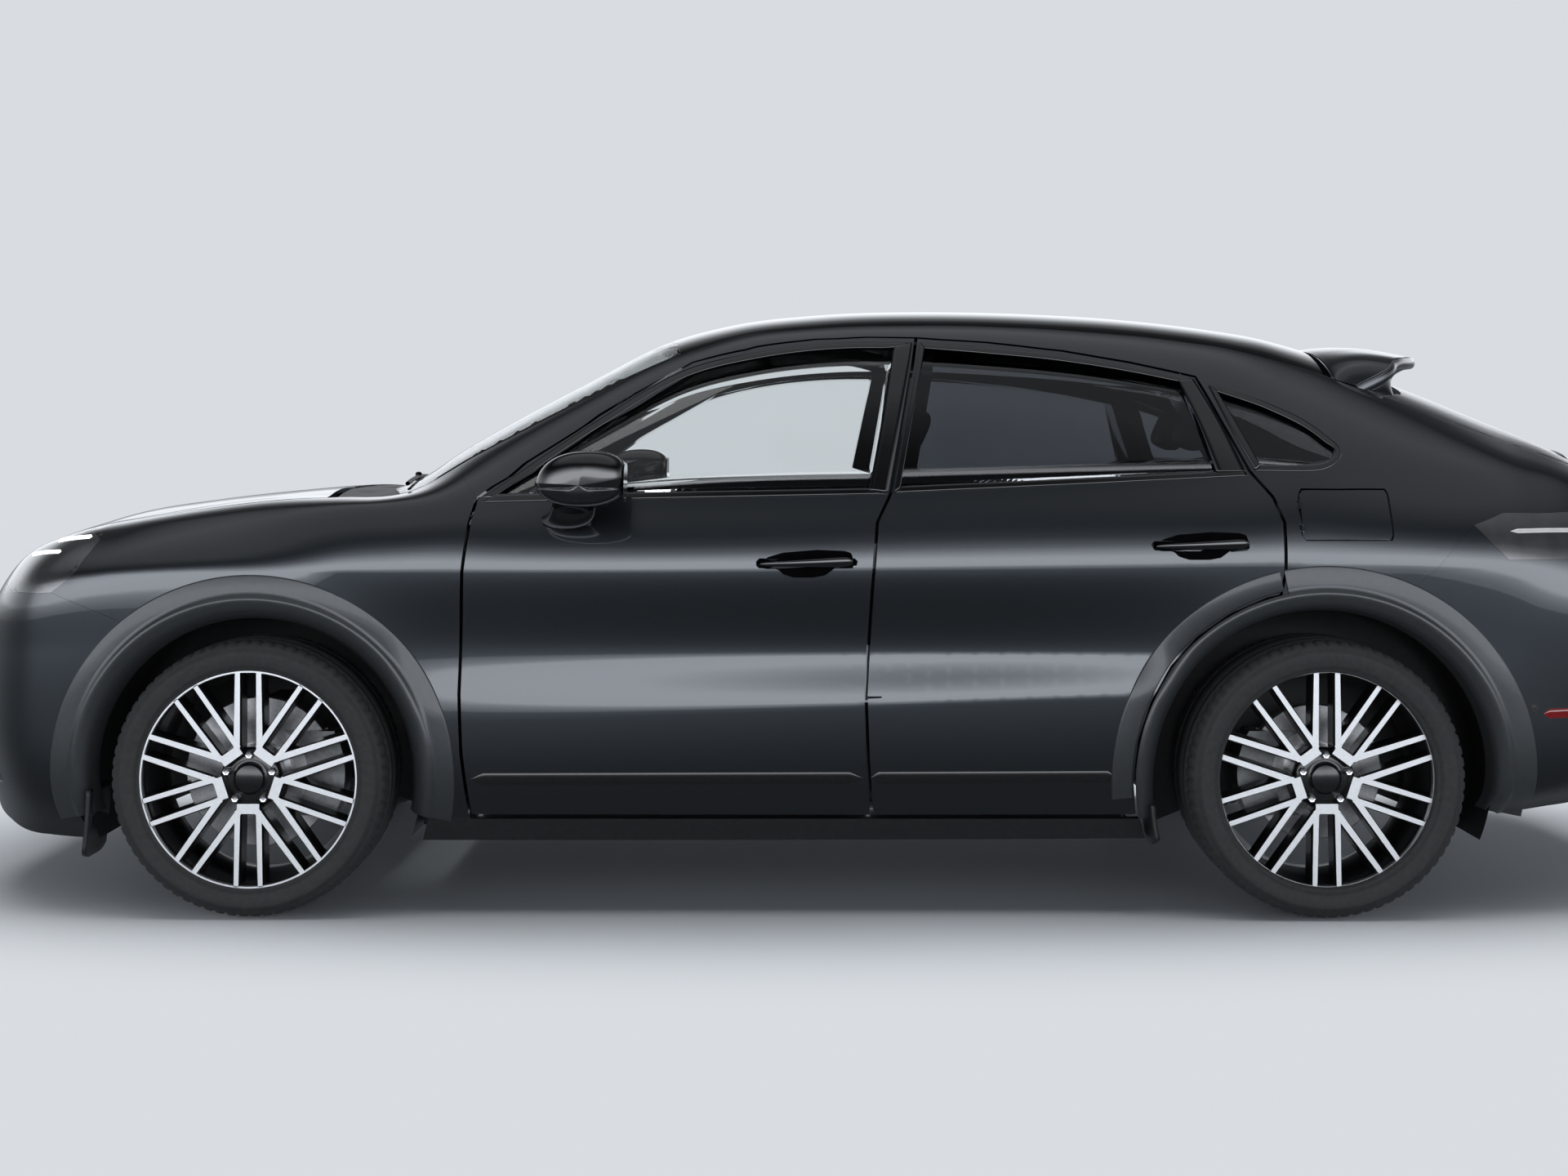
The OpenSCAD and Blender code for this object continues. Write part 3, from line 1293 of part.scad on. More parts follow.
module rim(x, side, w, disc_r) {
    color(steel) translate([x, side * wheel_y, tyre_r]) rotate([side * -90, 0, 0]) {
        difference() {
            union() {
                rotate_extrude() polygon([[rim_r - barrel_t * 4, -w / 2], [bead_r - nudge, -w / 2],
                    [bead_r - nudge, w / 2 - barrel_t], [rim_r, w / 2], [rim_r - barrel_t * 2, w / 2],
                    [rim_r - barrel_t * 3, w / 3], [rim_r - barrel_t * 4, 0]]);
                translate([0, 0, w / 2 - spoke_t - barrel_t]) linear_extrude(spoke_t) intersection() {
                    circle(r = rim_r - barrel_t * 2);
                    union() {
                        circle(r = hub_r);
                        for (k = [0 : group_count - 1]) rotate(k * 360 / group_count - 90) spoke_group();
                    }
                }
                translate([0, 0, hub_offset])
                    cylinder(r = hub_r, h = w / 2 - barrel_t * 2 - hub_offset);
            }
            for (k = [0 : bolt_count - 1]) rotate(k * 360 / bolt_count + 90)
                translate([bolt_circle_r, 0, 0]) cylinder(r = bolt_r, h = w);
        }
        brake_disc(disc_r);
    }
}
module brake_disc(r) {
    difference() {
        union() {
            translate([0, 0, disc_y - wheel_y - disc_t / 2]) cylinder(r = r, h = disc_t);
            translate([0, 0, disc_y - wheel_y - disc_t / 2])
                cylinder(r = hub_r, h = hub_y - disc_y + disc_t / 2 - nudge);
        }
        translate([0, 0, -overrun / 2]) cylinder(r = stub_r + pin_clearance, h = overrun);
    }
}

module tyre_front_left() { tyre(front_axle_x, -1, front_tyre_w); }
module tyre_front_right() { tyre(front_axle_x, 1, front_tyre_w); }
module tyre_rear_left() { tyre(rear_axle_x, -1, rear_tyre_w); }
module tyre_rear_right() { tyre(rear_axle_x, 1, rear_tyre_w); }
module rim_front_left() { rim(front_axle_x, -1, rim_w, front_disc_r); }
module rim_front_right() { rim(front_axle_x, 1, rim_w, front_disc_r); }
module rim_rear_left() { rim(rear_axle_x, -1, rim_w, rear_disc_r); }
module rim_rear_right() { rim(rear_axle_x, 1, rim_w, rear_disc_r); }

body_side_left();
body_side_right();
floor_pan();
roof_panel();
windshield();
cowl_panel();
quarter_windows();
front_fenders();
front_bumper();
grille();
headlamps();
hood();
rear_bumper();
tail_lamps();
tailgate();
rear_window();
light_bar();
roof_spoiler();
sill_trims();
arch_trims();
wheel_liners();
charge_flap();
fuel_flap();
exhaust_tips();
crash_beams();
hinge_pins();
door_front_left();
door_front_right();
door_rear_left();
door_rear_right();
glass_front_left();
glass_front_right();
glass_rear_left();
glass_rear_right();
mirror_left();
mirror_right();
engine_block();
front_axle();
rear_axle();
knuckle_left();
knuckle_right();
front_seats();
rear_seat();
dashboard();
steering_wheel();
tyre_front_left();
tyre_front_right();
tyre_rear_left();
tyre_rear_right();
rim_front_left();
rim_front_right();
rim_rear_left();
rim_rear_right();
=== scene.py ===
# %% [markdown]
# # Coupe sport utility vehicle
# The engineering model gives the places, the joints and the closed solids. This notebook gives the looks:
# every body panel is redrawn on a smooth form, and the trim, wheels, lamps and seats are added as surfaces.

# %% Load the frame
import bpy
import numpy as np
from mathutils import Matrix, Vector


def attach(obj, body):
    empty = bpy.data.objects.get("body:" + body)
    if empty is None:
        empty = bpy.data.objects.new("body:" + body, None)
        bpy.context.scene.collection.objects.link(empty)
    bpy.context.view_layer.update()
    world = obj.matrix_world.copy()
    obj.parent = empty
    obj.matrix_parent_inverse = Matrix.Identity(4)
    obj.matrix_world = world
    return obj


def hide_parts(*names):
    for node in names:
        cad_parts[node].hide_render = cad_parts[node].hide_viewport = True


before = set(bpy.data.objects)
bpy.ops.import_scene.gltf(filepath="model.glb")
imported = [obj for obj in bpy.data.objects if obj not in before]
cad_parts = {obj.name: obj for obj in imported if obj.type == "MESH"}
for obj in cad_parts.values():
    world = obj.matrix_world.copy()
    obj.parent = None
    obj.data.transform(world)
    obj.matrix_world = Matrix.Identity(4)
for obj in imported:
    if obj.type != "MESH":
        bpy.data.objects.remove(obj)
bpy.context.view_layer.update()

# %% [markdown]
# The body is one smooth form. Eight lines run from nose to tail; each row holds a station (0 nose, 1 front axle,
# 2 rear axle, 3 tail), a share of the half width and a share of the height. A section joins them with a curve.

# %% Feature lines
HALF_W, HEIGHT = 0.9915, 1.678
NOSE, FRONT_AXLE, REAR_AXLE, TAIL = -2.465, -1.56, 1.335, 2.465
LINES = dict(
    underside=[(0, .333, .197), (.072, .524, .158), (.196, .726, .134), (.348, .822, .119), (1, .877, .116),
               (2, .888, .122), (2.412, .867, .155), (2.677, .822, .179), (2.898, .696, .197), (2.978, .524, .206),
               (3, .363, .209)],
    sill=[(0, .403, .25), (.072, .605, .238), (.196, .797, .218), (.348, .898, .188), (1, .938, .167),
          (1.201, .923, .167), (1.815, .923, .167), (2, .938, .17), (2.412, .943, .2), (2.677, .908, .229),
          (2.898, .782, .244), (2.978, .595, .25), (3, .414, .253)],
    crease=[(0, .434, .31), (.072, .635, .31), (.196, .827, .31), (.348, .923, .31), (1, .968, .31),
            (1.201, .954, .313), (1.539, .96, .333), (1.815, .965, .349), (2, .986, .352), (2.412, .968, .346),
            (2.677, .928, .337), (2.898, .807, .322), (2.978, .615, .31), (3, .444, .304)],
    waist=[(0, .424, .369), (.072, .625, .387), (.196, .819, .411), (.348, .918, .424), (1, .968, .429),
           (1.201, .938, .429), (1.539, .933, .429), (1.815, .946, .43), (2, .978, .432), (2.412, .966, .429),
           (2.677, .93, .422), (2.898, .807, .399), (2.978, .615, .369), (3, .444, .352)],
    shoulder=[(0, .383, .417), (.072, .595, .459), (.196, .792, .498), (.348, .903, .53), (1, .96, .554),
              (1.201, .956, .551), (1.539, .961, .554), (1.815, .968, .559), (2, .976, .563), (2.412, .961, .56),
              (2.677, .913, .545), (2.898, .787, .501), (2.978, .595, .444), (3, .424, .396)],
    belt=[(0, .323, .444), (.072, .504, .495), (.196, .671, .557), (.348, .751, .596), (.552, .792, .616),
          (.929, .815, .643), (1.096, .852, .663), (1.201, .888, .66), (1.597, .894, .679), (1.912, .881, .708),
          (1.989, .873, .719), (2.279, .839, .715), (2.529, .797, .701), (2.734, .744, .672), (2.854, .701, .626),
          (2.942, .62, .545), (3, .383, .432)],
    rail=[(0, .222, .454), (.072, .403, .508), (.196, .504, .575), (.348, .54, .609), (.676, .56, .647),
          (1.049, .615, .673), (1.093, .674, .672), (1.132, .706, .679), (1.193, .686, .734), (1.269, .656, .802),
          (1.345, .627, .868), (1.404, .609, .912), (1.448, .605, .937), (1.529, .605, .953), (1.634, .605, .957),
          (1.731, .603, .953), (1.811, .599, .943), (1.892, .593, .929), (1.948, .589, .914), (2.033, .585, .883),
          (2.279, .593, .825), (2.529, .617, .76), (2.734, .645, .706), (2.854, .635, .656), (2.942, .565, .575),
          (3, .303, .444)],
    spine=[(0, 0, .458), (.072, 0, .516), (.196, 0, .59), (.348, 0, .625), (.676, 0, .658), (.906, 0, .672),
           (1.049, 0, .681), (1.079, 0, .674), (1.09, 0, .678), (1.159, 0, .745), (1.228, 0, .812),
           (1.301, 0, .878), (1.372, 0, .941), (1.444, 0, .975), (1.532, 0, .993), (1.648, 0, .999),
           (1.754, 0, .995), (1.843, 0, .986), (1.932, 0, .969), (1.994, 0, .952), (2.097, 0, .933),
           (2.279, 0, .89), (2.529, 0, .824), (2.734, 0, .756), (2.813, 0, .732), (2.893, 0, .673),
           (2.96, 0, .566), (3, 0, .448)])


def station(s):
    """Distance along the car in metres: the station is stretched between nose, axles and tail."""
    return np.interp(s, [0, 1, 2, 3], [NOSE, FRONT_AXLE, REAR_AXLE, TAIL])


def xyz(x, y, z):
    """Points from three arrays of coordinates, stretched to one shape."""
    return np.stack(np.broadcast_arrays(x, y, z), -1)


def around(n):
    """n angles, once round a circle."""
    return np.linspace(0, 2 * np.pi, n, endpoint=False)


def side_line(rows):
    """Points (x, z) of a line in the side view from rows of station and share of the height."""
    a = np.array(rows, float)
    return np.stack([station(a[:, 0]), a[:, 1] * HEIGHT], 1)


def limited(m, a, b):
    """A slope kept within three times the smaller neighbour, and 0 where the neighbours turn round."""
    return np.where(a * b <= 0, 0, np.sign(m) * np.minimum(abs(m), 3 * np.minimum(abs(a), abs(b))))


def hermite(p, q, m, n, u):
    """Cubic between values p and q with end slopes m and n, at share u of the span."""
    return (1 + 2 * u) * (1 - u) ** 2 * p + u * (1 - u) ** 2 * m + u * u * (3 - 2 * u) * q - u * u * (1 - u) * n


def line_at(knots, x):
    """A smooth line through the knots (x, y, z): y and z at each x, from limited cubic spans."""
    k, v = knots[:, 0], knots[:, 1:]
    h = np.diff(k)[:, None]
    d = np.diff(v, axis=0) / h
    m = np.vstack([d[:1], limited((d[:-1] * h[1:] + d[1:] * h[:-1]) / (h[1:] + h[:-1]), d[:-1], d[1:]), d[-1:]])
    i = np.clip(np.searchsorted(k, x) - 1, 0, len(k) - 2)
    return hermite(v[i], v[i + 1], h[i] * m[i], h[i] * m[i + 1], ((x - k[i]) / h[i, 0])[:, None])


# %% [markdown]
# The form is kept as a grid: 987 sections, each with 24 steps between neighbouring lines. The normals come from the
# two directions of the grid. A point is brought to the form by moving it along the normal of the nearest grid point.

# %% The smooth form
GRID_X = np.linspace(NOSE, TAIL, 987)
STEPS, CHUNK = 24, 20000
BLUR_WIDTH, TINY = 0.022, 1e-12


def sections(x):
    """Half sections (y, z) at each x: cubic spans between the eight feature lines, level at the spine."""
    f = np.stack([line_at(np.array([(station(s), y * HALF_W, z * HEIGHT) for s, y, z in t]), x)
                  for t in LINES.values()], 1)
    g = np.linalg.norm(np.diff(f, axis=1), axis=2, keepdims=True)
    d = np.diff(f, axis=1) / g
    mid = limited((d[:, :-1] * g[:, 1:] + d[:, 1:] * g[:, :-1]) / (g[:, 1:] + g[:, :-1]), d[:, :-1], d[:, 1:])
    end = np.broadcast_to(np.array([-1.0, 0]), d[:, :1].shape)
    t = np.concatenate([d[:, :1], mid, end], 1)
    u = np.arange(1, STEPS + 1)[None, None, :, None] / STEPS
    s = hermite(f[:, :-1, None], f[:, 1:, None], (t[:, :-1] * g)[:, :, None], (t[:, 1:] * g)[:, :, None], u)
    return np.concatenate([f[:, :1], s.reshape(len(x), -1, 2)], 1)


def blur(a, width):
    """Smooths each line of the grid along the car: weights fall off like a bell over the given width."""
    r = int(width * 3 / (GRID_X[1] - GRID_X[0]))
    w = np.exp(-0.5 * (np.arange(-r, r + 1) / (r / 3)) ** 2)
    pad = np.concatenate([2 * a[:1] - a[r:0:-1], a, 2 * a[-1:] - a[-2:-r - 2:-1]])
    return sum(wi * pad[i:i + len(a)] for i, wi in enumerate(w / w.sum()))


GRID = blur(sections(GRID_X), BLUR_WIDTH)
_dx = np.gradient(GRID, GRID_X, axis=0)
_dv = np.gradient(GRID, axis=1)
NORMAL = xyz(_dx[..., 1] * _dv[..., 0] - _dx[..., 0] * _dv[..., 1], _dv[..., 1], -_dv[..., 0])
NORMAL /= np.linalg.norm(NORMAL, axis=2, keepdims=True) + TINY
NORMAL[:, -1, 1] = 0


def rows_at(x):
    """Two neighbouring grid rows for each x, the share between them and the blended section."""
    t = np.clip((x - GRID_X[0]) / (GRID_X[1] - GRID_X[0]), 0, len(GRID_X) - 1.001)
    i, w = t.astype(int), (t % 1)[:, None, None]
    return i, w, GRID[i] * (1 - w) + GRID[i + 1] * w


def nearest(points):
    """Nearest point of the form in each point's own section, with the form's normal there, for both sides."""
    out, nor = np.empty_like(points), np.empty_like(points)
    for a in range(0, len(points), CHUNK):
        p = points[a:a + CHUNK]
        side = np.where(p[:, 1] < 0, -1.0, 1.0)
        i, w, row = rows_at(p[:, 0])
        q = np.stack([abs(p[:, 1]), p[:, 2]], 1)[:, None]
        s, e = row[:, :-1], row[:, 1:] - row[:, :-1]
        k = np.clip(((q - s) * e).sum(2) / ((e * e).sum(2) + TINY), 0, 1)
        c = s + e * k[..., None]
        j = ((c - q) ** 2).sum(2).argmin(1)
        r = np.arange(len(p))
        best, kk = c[r, j], k[r, j][:, None]
        n0 = NORMAL[i, j] * (1 - kk) + NORMAL[i, j + 1] * kk
        n1 = NORMAL[i + 1, j] * (1 - kk) + NORMAL[i + 1, j + 1] * kk
        n = n0 * (1 - w[:, 0]) + n1 * w[:, 0]
        n /= np.linalg.norm(n, axis=1, keepdims=True) + TINY
        out[a:a + CHUNK] = xyz(p[:, 0], best[:, 0] * side, best[:, 1])
        nor[a:a + CHUNK] = n * xyz(1.0, side, 1.0)
    return out, nor


def to_form(points, depth=0.0, rounds=2):
    """Moves points along the form's normal until they lie at the given depth below it."""
    p = points.copy()
    for _ in range(rounds):
        q, n = nearest(p)
        p += n * (((q - p) * n).sum(1) - depth)[:, None]
    return p, nearest(p)[1]


def skin(x, z, lift=0.0, side=-1):
    """Points on the side of the car over (x, z) in the side view, lifted off the form."""
    x, z = np.broadcast_arrays(np.asarray(x, float), np.asarray(z, float))
    p = xyz(x.ravel(), np.zeros(x.size), z.ravel())
    _, _, row = rows_at(p[:, 0])
    j = np.clip((row[:, :, 1] <= p[:, 2:3]).sum(1) - 1, 0, row.shape[1] - 2)
    r = np.arange(len(p))
    a, b = row[r, j], row[r, j + 1]
    k = np.clip((p[:, 2] - a[:, 1]) / (b[:, 1] - a[:, 1] + 1e-9), 0, 1)
    p[:, 1] = side * (a[:, 0] + (b[:, 0] - a[:, 0]) * k)
    return (p + nearest(p)[1] * np.broadcast_to(lift, x.shape).reshape(-1, 1)).reshape(x.shape + (3,))


print("form grid", GRID.shape)

# %% [markdown]
# Two helpers make meshes: `mesh_piece` takes vertices and faces, and `sheet_piece` takes a grid of points that a
# formula gave. `joined` puts several grids into one mesh, and `add_wall` makes a sheet thick. Each new piece rides a
# body and stands for a node where it replaces one.

# %% Mesh helpers
def mesh_piece(name, verts, faces, mats, body, slot, face_mats=None, normals=None, smooth=True, replaces=(),
               flip=False):
    """One object from vertices, faces of one length and a list of materials; flip turns the faces round."""
    faces = np.asarray(faces)[:, ::-1] if flip else np.asarray(faces)
    me = bpy.data.meshes.new(name)
    me.vertices.add(len(verts))
    me.vertices.foreach_set("co", np.asarray(verts, np.float32).ravel())
    me.loops.add(faces.size)
    me.loops.foreach_set("vertex_index", faces.astype(np.int32).ravel())
    me.polygons.add(len(faces))
    me.polygons.foreach_set("loop_start", np.arange(0, faces.size, faces.shape[1], dtype=np.int32))
    if face_mats is not None:
        me.polygons.foreach_set("material_index", np.asarray(face_mats, np.int32))
    me.polygons.foreach_set("use_smooth", np.full(len(faces), smooth))
    for m in mats:
        me.materials.append(m)
    me.update(calc_edges=True)
    me.validate()
    if normals is not None:
        me.normals_split_custom_set(np.asarray(normals, float).reshape(-1, 3))
    ob = bpy.data.objects.new(name, me)
    bpy.context.scene.collection.objects.link(ob)
    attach(ob, body)
    if replaces:
        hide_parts(*replaces)
    return ob


def grid_faces(m, n, loop_u=False, loop_v=False):
    """Quads of a grid of m by n points, closed in either direction."""
    a, b = np.meshgrid(np.arange(m if loop_u else m - 1), np.arange(n if loop_v else n - 1), indexing="ij")
    c, d = (a + 1) % m, (b + 1) % n
    return np.stack([a * n + b, c * n + b, c * n + d, a * n + d], -1).reshape(-1, 4)


def add_wall(ob, thick):
    """Gives a sheet a wall of the given thickness, inwards from its face."""
    m = ob.modifiers.new("wall", "SOLIDIFY")
    m.thickness, m.offset = thick, -1


def sheet_piece(name, points, mat, body, slot, loop_u=False, loop_v=False, thick=0.0, flip=False, replaces=()):
    """A surface from a grid of points (m, n, 3), with an optional wall thickness."""
    faces = grid_faces(*points.shape[:2], loop_u, loop_v)
    ob = mesh_piece(name, points.reshape(-1, 3), faces, [mat], body, slot, replaces=replaces, flip=flip)
    if thick:
        add_wall(ob, thick)


def joined(parts):
    """Several grids of points as one list of vertices and quads."""
    v, f, base = [], [], 0
    for p, lu, lv in parts:
        v.append(p.reshape(-1, 3))
        f.append(grid_faces(*p.shape[:2], lu, lv) + base)
        base += len(v[-1])
    return np.concatenate(v), np.concatenate(f)


# %% [markdown]
# The finishes are procedural: each takes its colour from a noise on object coordinates, so no surface is one flat
# tone. The paint has a metallic base with a clear coat, the glass passes light, and the plastics differ in roughness.

# %% Materials
def new_nodes(nt, *kinds):
    """New shader nodes of the given kinds."""
    return [nt.nodes.new("ShaderNode" + k) for k in kinds]


def wire(nt, *pairs):
    """Links each output to its input."""
    for out, into in pairs:
        nt.links.new(out, into)


def finish(name, dark, light, scale=40.0, rough=0.4, metal=0.0, coat=0.0, grain=0.0, grain_scale=400.0, trans=0.0,
           ior=1.45, glow=0.0, aniso=0.0):
    """A Principled finish whose colour runs between two tones over a noise, with an optional fine bump."""
    m = bpy.data.materials.new(name)
    m.use_nodes = True
    nt = m.node_tree
    p = nt.nodes["Principled BSDF"]
    co, no, ramp = new_nodes(nt, "TexCoord", "TexNoise", "ValToRGB")
    no.inputs["Scale"].default_value = scale
    no.inputs["Detail"].default_value = 3
    for end, at, tone in zip(ramp.color_ramp.elements, (0.3, 0.7), (dark, light)):
        end.position, end.color = at, (*tone, 1)
    wire(nt, (co.outputs["Object"], no.inputs["Vector"]), (no.outputs["Fac"], ramp.inputs["Fac"]),
         (ramp.outputs["Color"], p.inputs["Base Color"]))
    for key, val in (("Roughness", rough), ("Metallic", metal), ("Coat Weight", coat), ("Coat Roughness", 0.03),
                     ("Transmission Weight", trans), ("IOR", ior), ("Anisotropic", aniso)):
        p.inputs[key].default_value = val
    if glow:
        p.inputs["Emission Color"].default_value = (*light, 1)
        p.inputs["Emission Strength"].default_value = glow
    if grain:
        fine, bump = new_nodes(nt, "TexNoise", "Bump")
        fine.inputs["Scale"].default_value = grain_scale
        bump.inputs["Strength"].default_value = grain
        bump.inputs["Distance"].default_value = 0.0005
        wire(nt, (co.outputs["Object"], fine.inputs["Vector"]), (fine.outputs["Fac"], bump.inputs["Height"]),
             (bump.outputs["Normal"], p.inputs["Normal"]))
    return m


PAINT = finish("paint", (.026, .030, .035), (.032, .037, .043), 900, .34, .9, 1.0)
CLADDING = finish("cladding", (.040, .044, .048), (.046, .050, .055), 60, .42, .3, .3)
SATIN = finish("satin_black", (.012, .012, .013), (.018, .018, .019), 60, .5, 0, 0, .25, 900)
GLOSS = finish("gloss_black", (.004, .004, .0045), (.006, .006, .0065), 20, .06, 0, .6)
CLEAR = finish("clear_glass", (.93, .95, .95), (.95, .97, .97), 4, 0, trans=1)
DARK = finish("dark_glass", (.23, .245, .265), (.25, .265, .285), 4, 0, trans=1)
RED = finish("lamp_red", (.22, .004, .005), (.30, .006, .007), 30, .08, 0, .8)
LIGHT = finish("lamp_light", (.9, .92, .95), (1, 1, 1), 30, .3, glow=1.6)
STEEL = finish("steel", (.40, .40, .41), (.50, .50, .51), 120, .32, 1)
CAST = finish("cast_metal", (.10, .10, .105), (.15, .15, .155), 90, .55, .8, 0, .3, 300)
ALLOY = finish("machined_alloy", (.78, .79, .81), (.84, .85, .87), 200, .44, .8, aniso=.3)
POCKET = finish("wheel_black", (.008, .008, .009), (.012, .012, .013), 80, .3, .2, .4)
TYRE = finish("tyre", (.021, .022, .023), (.032, .033, .034), 70, .72, 0, 0, .5, 260)
LEATHER = finish("leather", (.020, .020, .021), (.030, .030, .031), 30, .5, 0, 0, .6, 320)
LAMP = finish("lamp_cover", (.055, .058, .062), (.075, .079, .084), 14, .06, .3, 1)
SMOKED = finish("smoked_lens", (.060, .060, .064), (.085, .086, .090), 20, .08, .2, 1)
LINE = finish("tail_light", (.55, .54, .55), (.64, .63, .64), 60, .2, 0, .5, glow=.15)
CALLIPER = finish("calliper_metal", (.16, .165, .17), (.22, .225, .23), 70, .45, .8, 0, .3, 300)
# painted shade: the handle recess is a flat near-black sheet with almost no reflection, standing in for the shade in
# the hollow
PAINTED_RECESS_SHADE = finish("painted_recess_shade", (.0015, .0015, .002), (.003, .003, .0035), 30, .8, ior=1.08)
CHROME = finish("chrome", (.55, .56, .58), (.62, .63, .65), 50, .12, 1)
print("materials", len(bpy.data.materials))

# %% [markdown]
# A panel starts as the triangles of its solid. Equal corners are welded, long edges of the outer skin are halved until
# they are short, and the skin's corners are moved to the smooth form. The skin takes the form's normals, so it
# reflects like one surface, and the walls behind it keep flat normals and crisp edges.

# %% Panels
LONGEST_EDGE = 0.04
LUG_END, EASE_START, EASE_LENGTH = 1.288, 1.283, 0.025
HANDLE_PLACES = ((-.061, .955), (1.004, 1.0))


def solid_arrays(node):
    """Welded vertices and triangles of a node."""
    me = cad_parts[node].data
    me.calc_loop_triangles()
    v = np.empty(len(me.vertices) * 3, np.float32)
    me.vertices.foreach_get("co", v)
    t = np.empty(len(me.loop_triangles) * 3, np.int32)
    me.loop_triangles.foreach_get("vertices", t)
    _, first, inv = np.unique(np.round(v.reshape(-1, 3) * 1e5).astype(np.int64), axis=0, return_index=True,
                              return_inverse=True)
    t = inv.ravel()[t.reshape(-1, 3)]
    t = t[(t[:, 0] != t[:, 1]) & (t[:, 1] != t[:, 2]) & (t[:, 2] != t[:, 0])]
    return v.reshape(-1, 3)[first].astype(float), t


def tri_normals(v, t):
    """Unit normals of triangles."""
    n = np.cross(v[t[:, 1]] - v[t[:, 0]], v[t[:, 2]] - v[t[:, 0]])
    return n / (np.linalg.norm(n, axis=1, keepdims=True) + 1e-15)


def halve_edges(v, t, flag, limit):
    """Halves every edge of a flagged triangle that is longer than the limit; neighbours split along with it."""
    for _ in range(8):
        e = np.sort(np.stack([t, np.roll(t, -1, 1)], -1).reshape(-1, 2), 1)
        u, inv = np.unique(e, axis=0, return_inverse=True)
        inv = inv.reshape(-1, 3)
        use = np.zeros(len(u), bool)
        use[inv[flag].ravel()] = True
        cut = use & (np.linalg.norm(v[u[:, 0]] - v[u[:, 1]], axis=1) > limit)
        if not cut.any():
            break
        mid = np.full(len(u), -1)
        mid[cut] = len(v) + np.arange(cut.sum())
        v = np.vstack([v, (v[u[cut, 0]] + v[u[cut, 1]]) / 2])
        m = mid[inv]
        code = (m >= 0) @ np.array([1, 2, 4])
        new_t, new_f = [t[code == 0]], [flag[code == 0]]
        for c, turn in ((1, 0), (2, 1), (4, 2), (3, 0), (6, 1), (5, 2), (7, 0)):
            k = code == c
            a, b, d = np.roll(t[k], -turn, 1).T
            x, y, z = np.roll(m[k], -turn, 1).T
            if c in (1, 2, 4):
                parts = [(a, x, d), (x, b, d)]
            elif c == 7:
                parts = [(a, x, z), (x, b, y), (z, y, d), (x, y, z)]
            else:
                parts = [(a, x, d), (x, b, y), (x, y, d)]
            new_t += [np.stack(p, 1) for p in parts]
            new_f += [flag[k]] * len(parts)
        t, flag = np.concatenate(new_t), np.concatenate(new_f)
    return v, t, flag


def smooth_panel(node, body="body", mat=PAINT, slot="paint", depth=0.0, reach=0.012, skip=None, only_skin=0.0,
                 facing=0.55, drop=None, ease=None):
    """A node's solid with its outer skin moved to the form; only_skin keeps the skin alone, as a sheet that thick."""
    v, t = solid_arrays(node)
    if drop is not None:
        t = t[~drop(v[t].mean(1))]
    c = v[t].mean(1)
    q, n = nearest(c)
    outer = ((tri_normals(v, t) * n).sum(1) > facing) & (abs(((q - c) * n).sum(1) - depth) < reach)
    if skip is not None:
        outer &= ~skip(c)
    if only_skin:
        t, outer = t[outer], outer[outer]
    v, t, outer = halve_edges(v, t, outer, LONGEST_EDGE)
    move = np.unique(t[outer])
    goal, _ = to_form(v[move], depth)
    v[move] += (goal - v[move]) * (1 if ease is None else ease(v[move]))
    v[:, 0] = np.clip(v[:, 0], GRID_X[0], GRID_X[-1])
    used, inv = np.unique(t, return_inverse=True)
    v, t = v[used], inv.reshape(-1, 3)
    corner = np.repeat(tri_normals(v, t)[:, None], 3, 1)
    corner[outer] = nearest(v[t[outer]].reshape(-1, 3))[1].reshape(-1, 3, 3)
    ob = mesh_piece(node + "_skin", v, t, [mat], body, slot, normals=corner, replaces=(node,))
    if only_skin:
        add_wall(ob, only_skin)


def in_flap(c):
    """True for points inside the outline of the flap pockets."""
    x, z, half_length, half_height = 1.392, 1.081, 0.1255, 0.067
    return (abs(c[:, 0] - x) < half_length) & (abs(c[:, 2] - z) < half_height)


def on_lug(c):
    """True for points of a flap's hinge lugs, at its front edge."""
    return c[:, 0] < LUG_END


def behind_pin(p):
    """0 at a flap's front edge and 1 from a little behind it, so that the edge swings clear of the body side."""
    return np.clip((p[:, :1] - EASE_START) / EASE_LENGTH, 0, 1)


def on_handle(c):
    """True for points of a door handle, which stand off the form; the handles are redrawn below."""
    q, n = nearest(c)
    near = np.any([(abs(c[:, 0] - x) < .16) & (abs(c[:, 2] - z) < .06) for x, z in HANDLE_PLACES], axis=0)
    return near & (((c - q) * n).sum(1) > 0.003)


SIDES = (("left", -1), ("right", 1))
for s, _ in SIDES:
    smooth_panel("body_side_" + s, skip=in_flap)
    for d in ("front", "rear"):
        smooth_panel(f"door_{d}_{s}", f"door_{d}_{s}", reach=0.02, drop=on_handle)
smooth_panel("hood", "hood", reach=0.02)
smooth_panel("front_fenders", reach=0.025)
smooth_panel("front_bumper", reach=0.05, facing=0.4)
smooth_panel("rear_bumper", reach=0.02)
smooth_panel("tailgate", "tailgate", reach=0.009)
smooth_panel("roof_panel", "body", GLOSS, "gloss_black")
smooth_panel("cowl_panel", "body", SATIN, "satin_black", depth=0.003, reach=0.006)
smooth_panel("sill_trims", "body", SATIN, "satin_black")
for flap in ("charge_flap", "fuel_flap"):
    smooth_panel(flap, flap, skip=on_lug, ease=behind_pin)
smooth_panel("light_bar", "tailgate", SMOKED, "lamp_red")
smooth_panel("tail_lamps", "body", SMOKED, "lamp_red")

# %% [markdown]
# Glass is only its outer sheet, a few millimetres thick, so that it shows no facets from behind. The headlamp covers
# keep their whole solid and get a smooth skin.

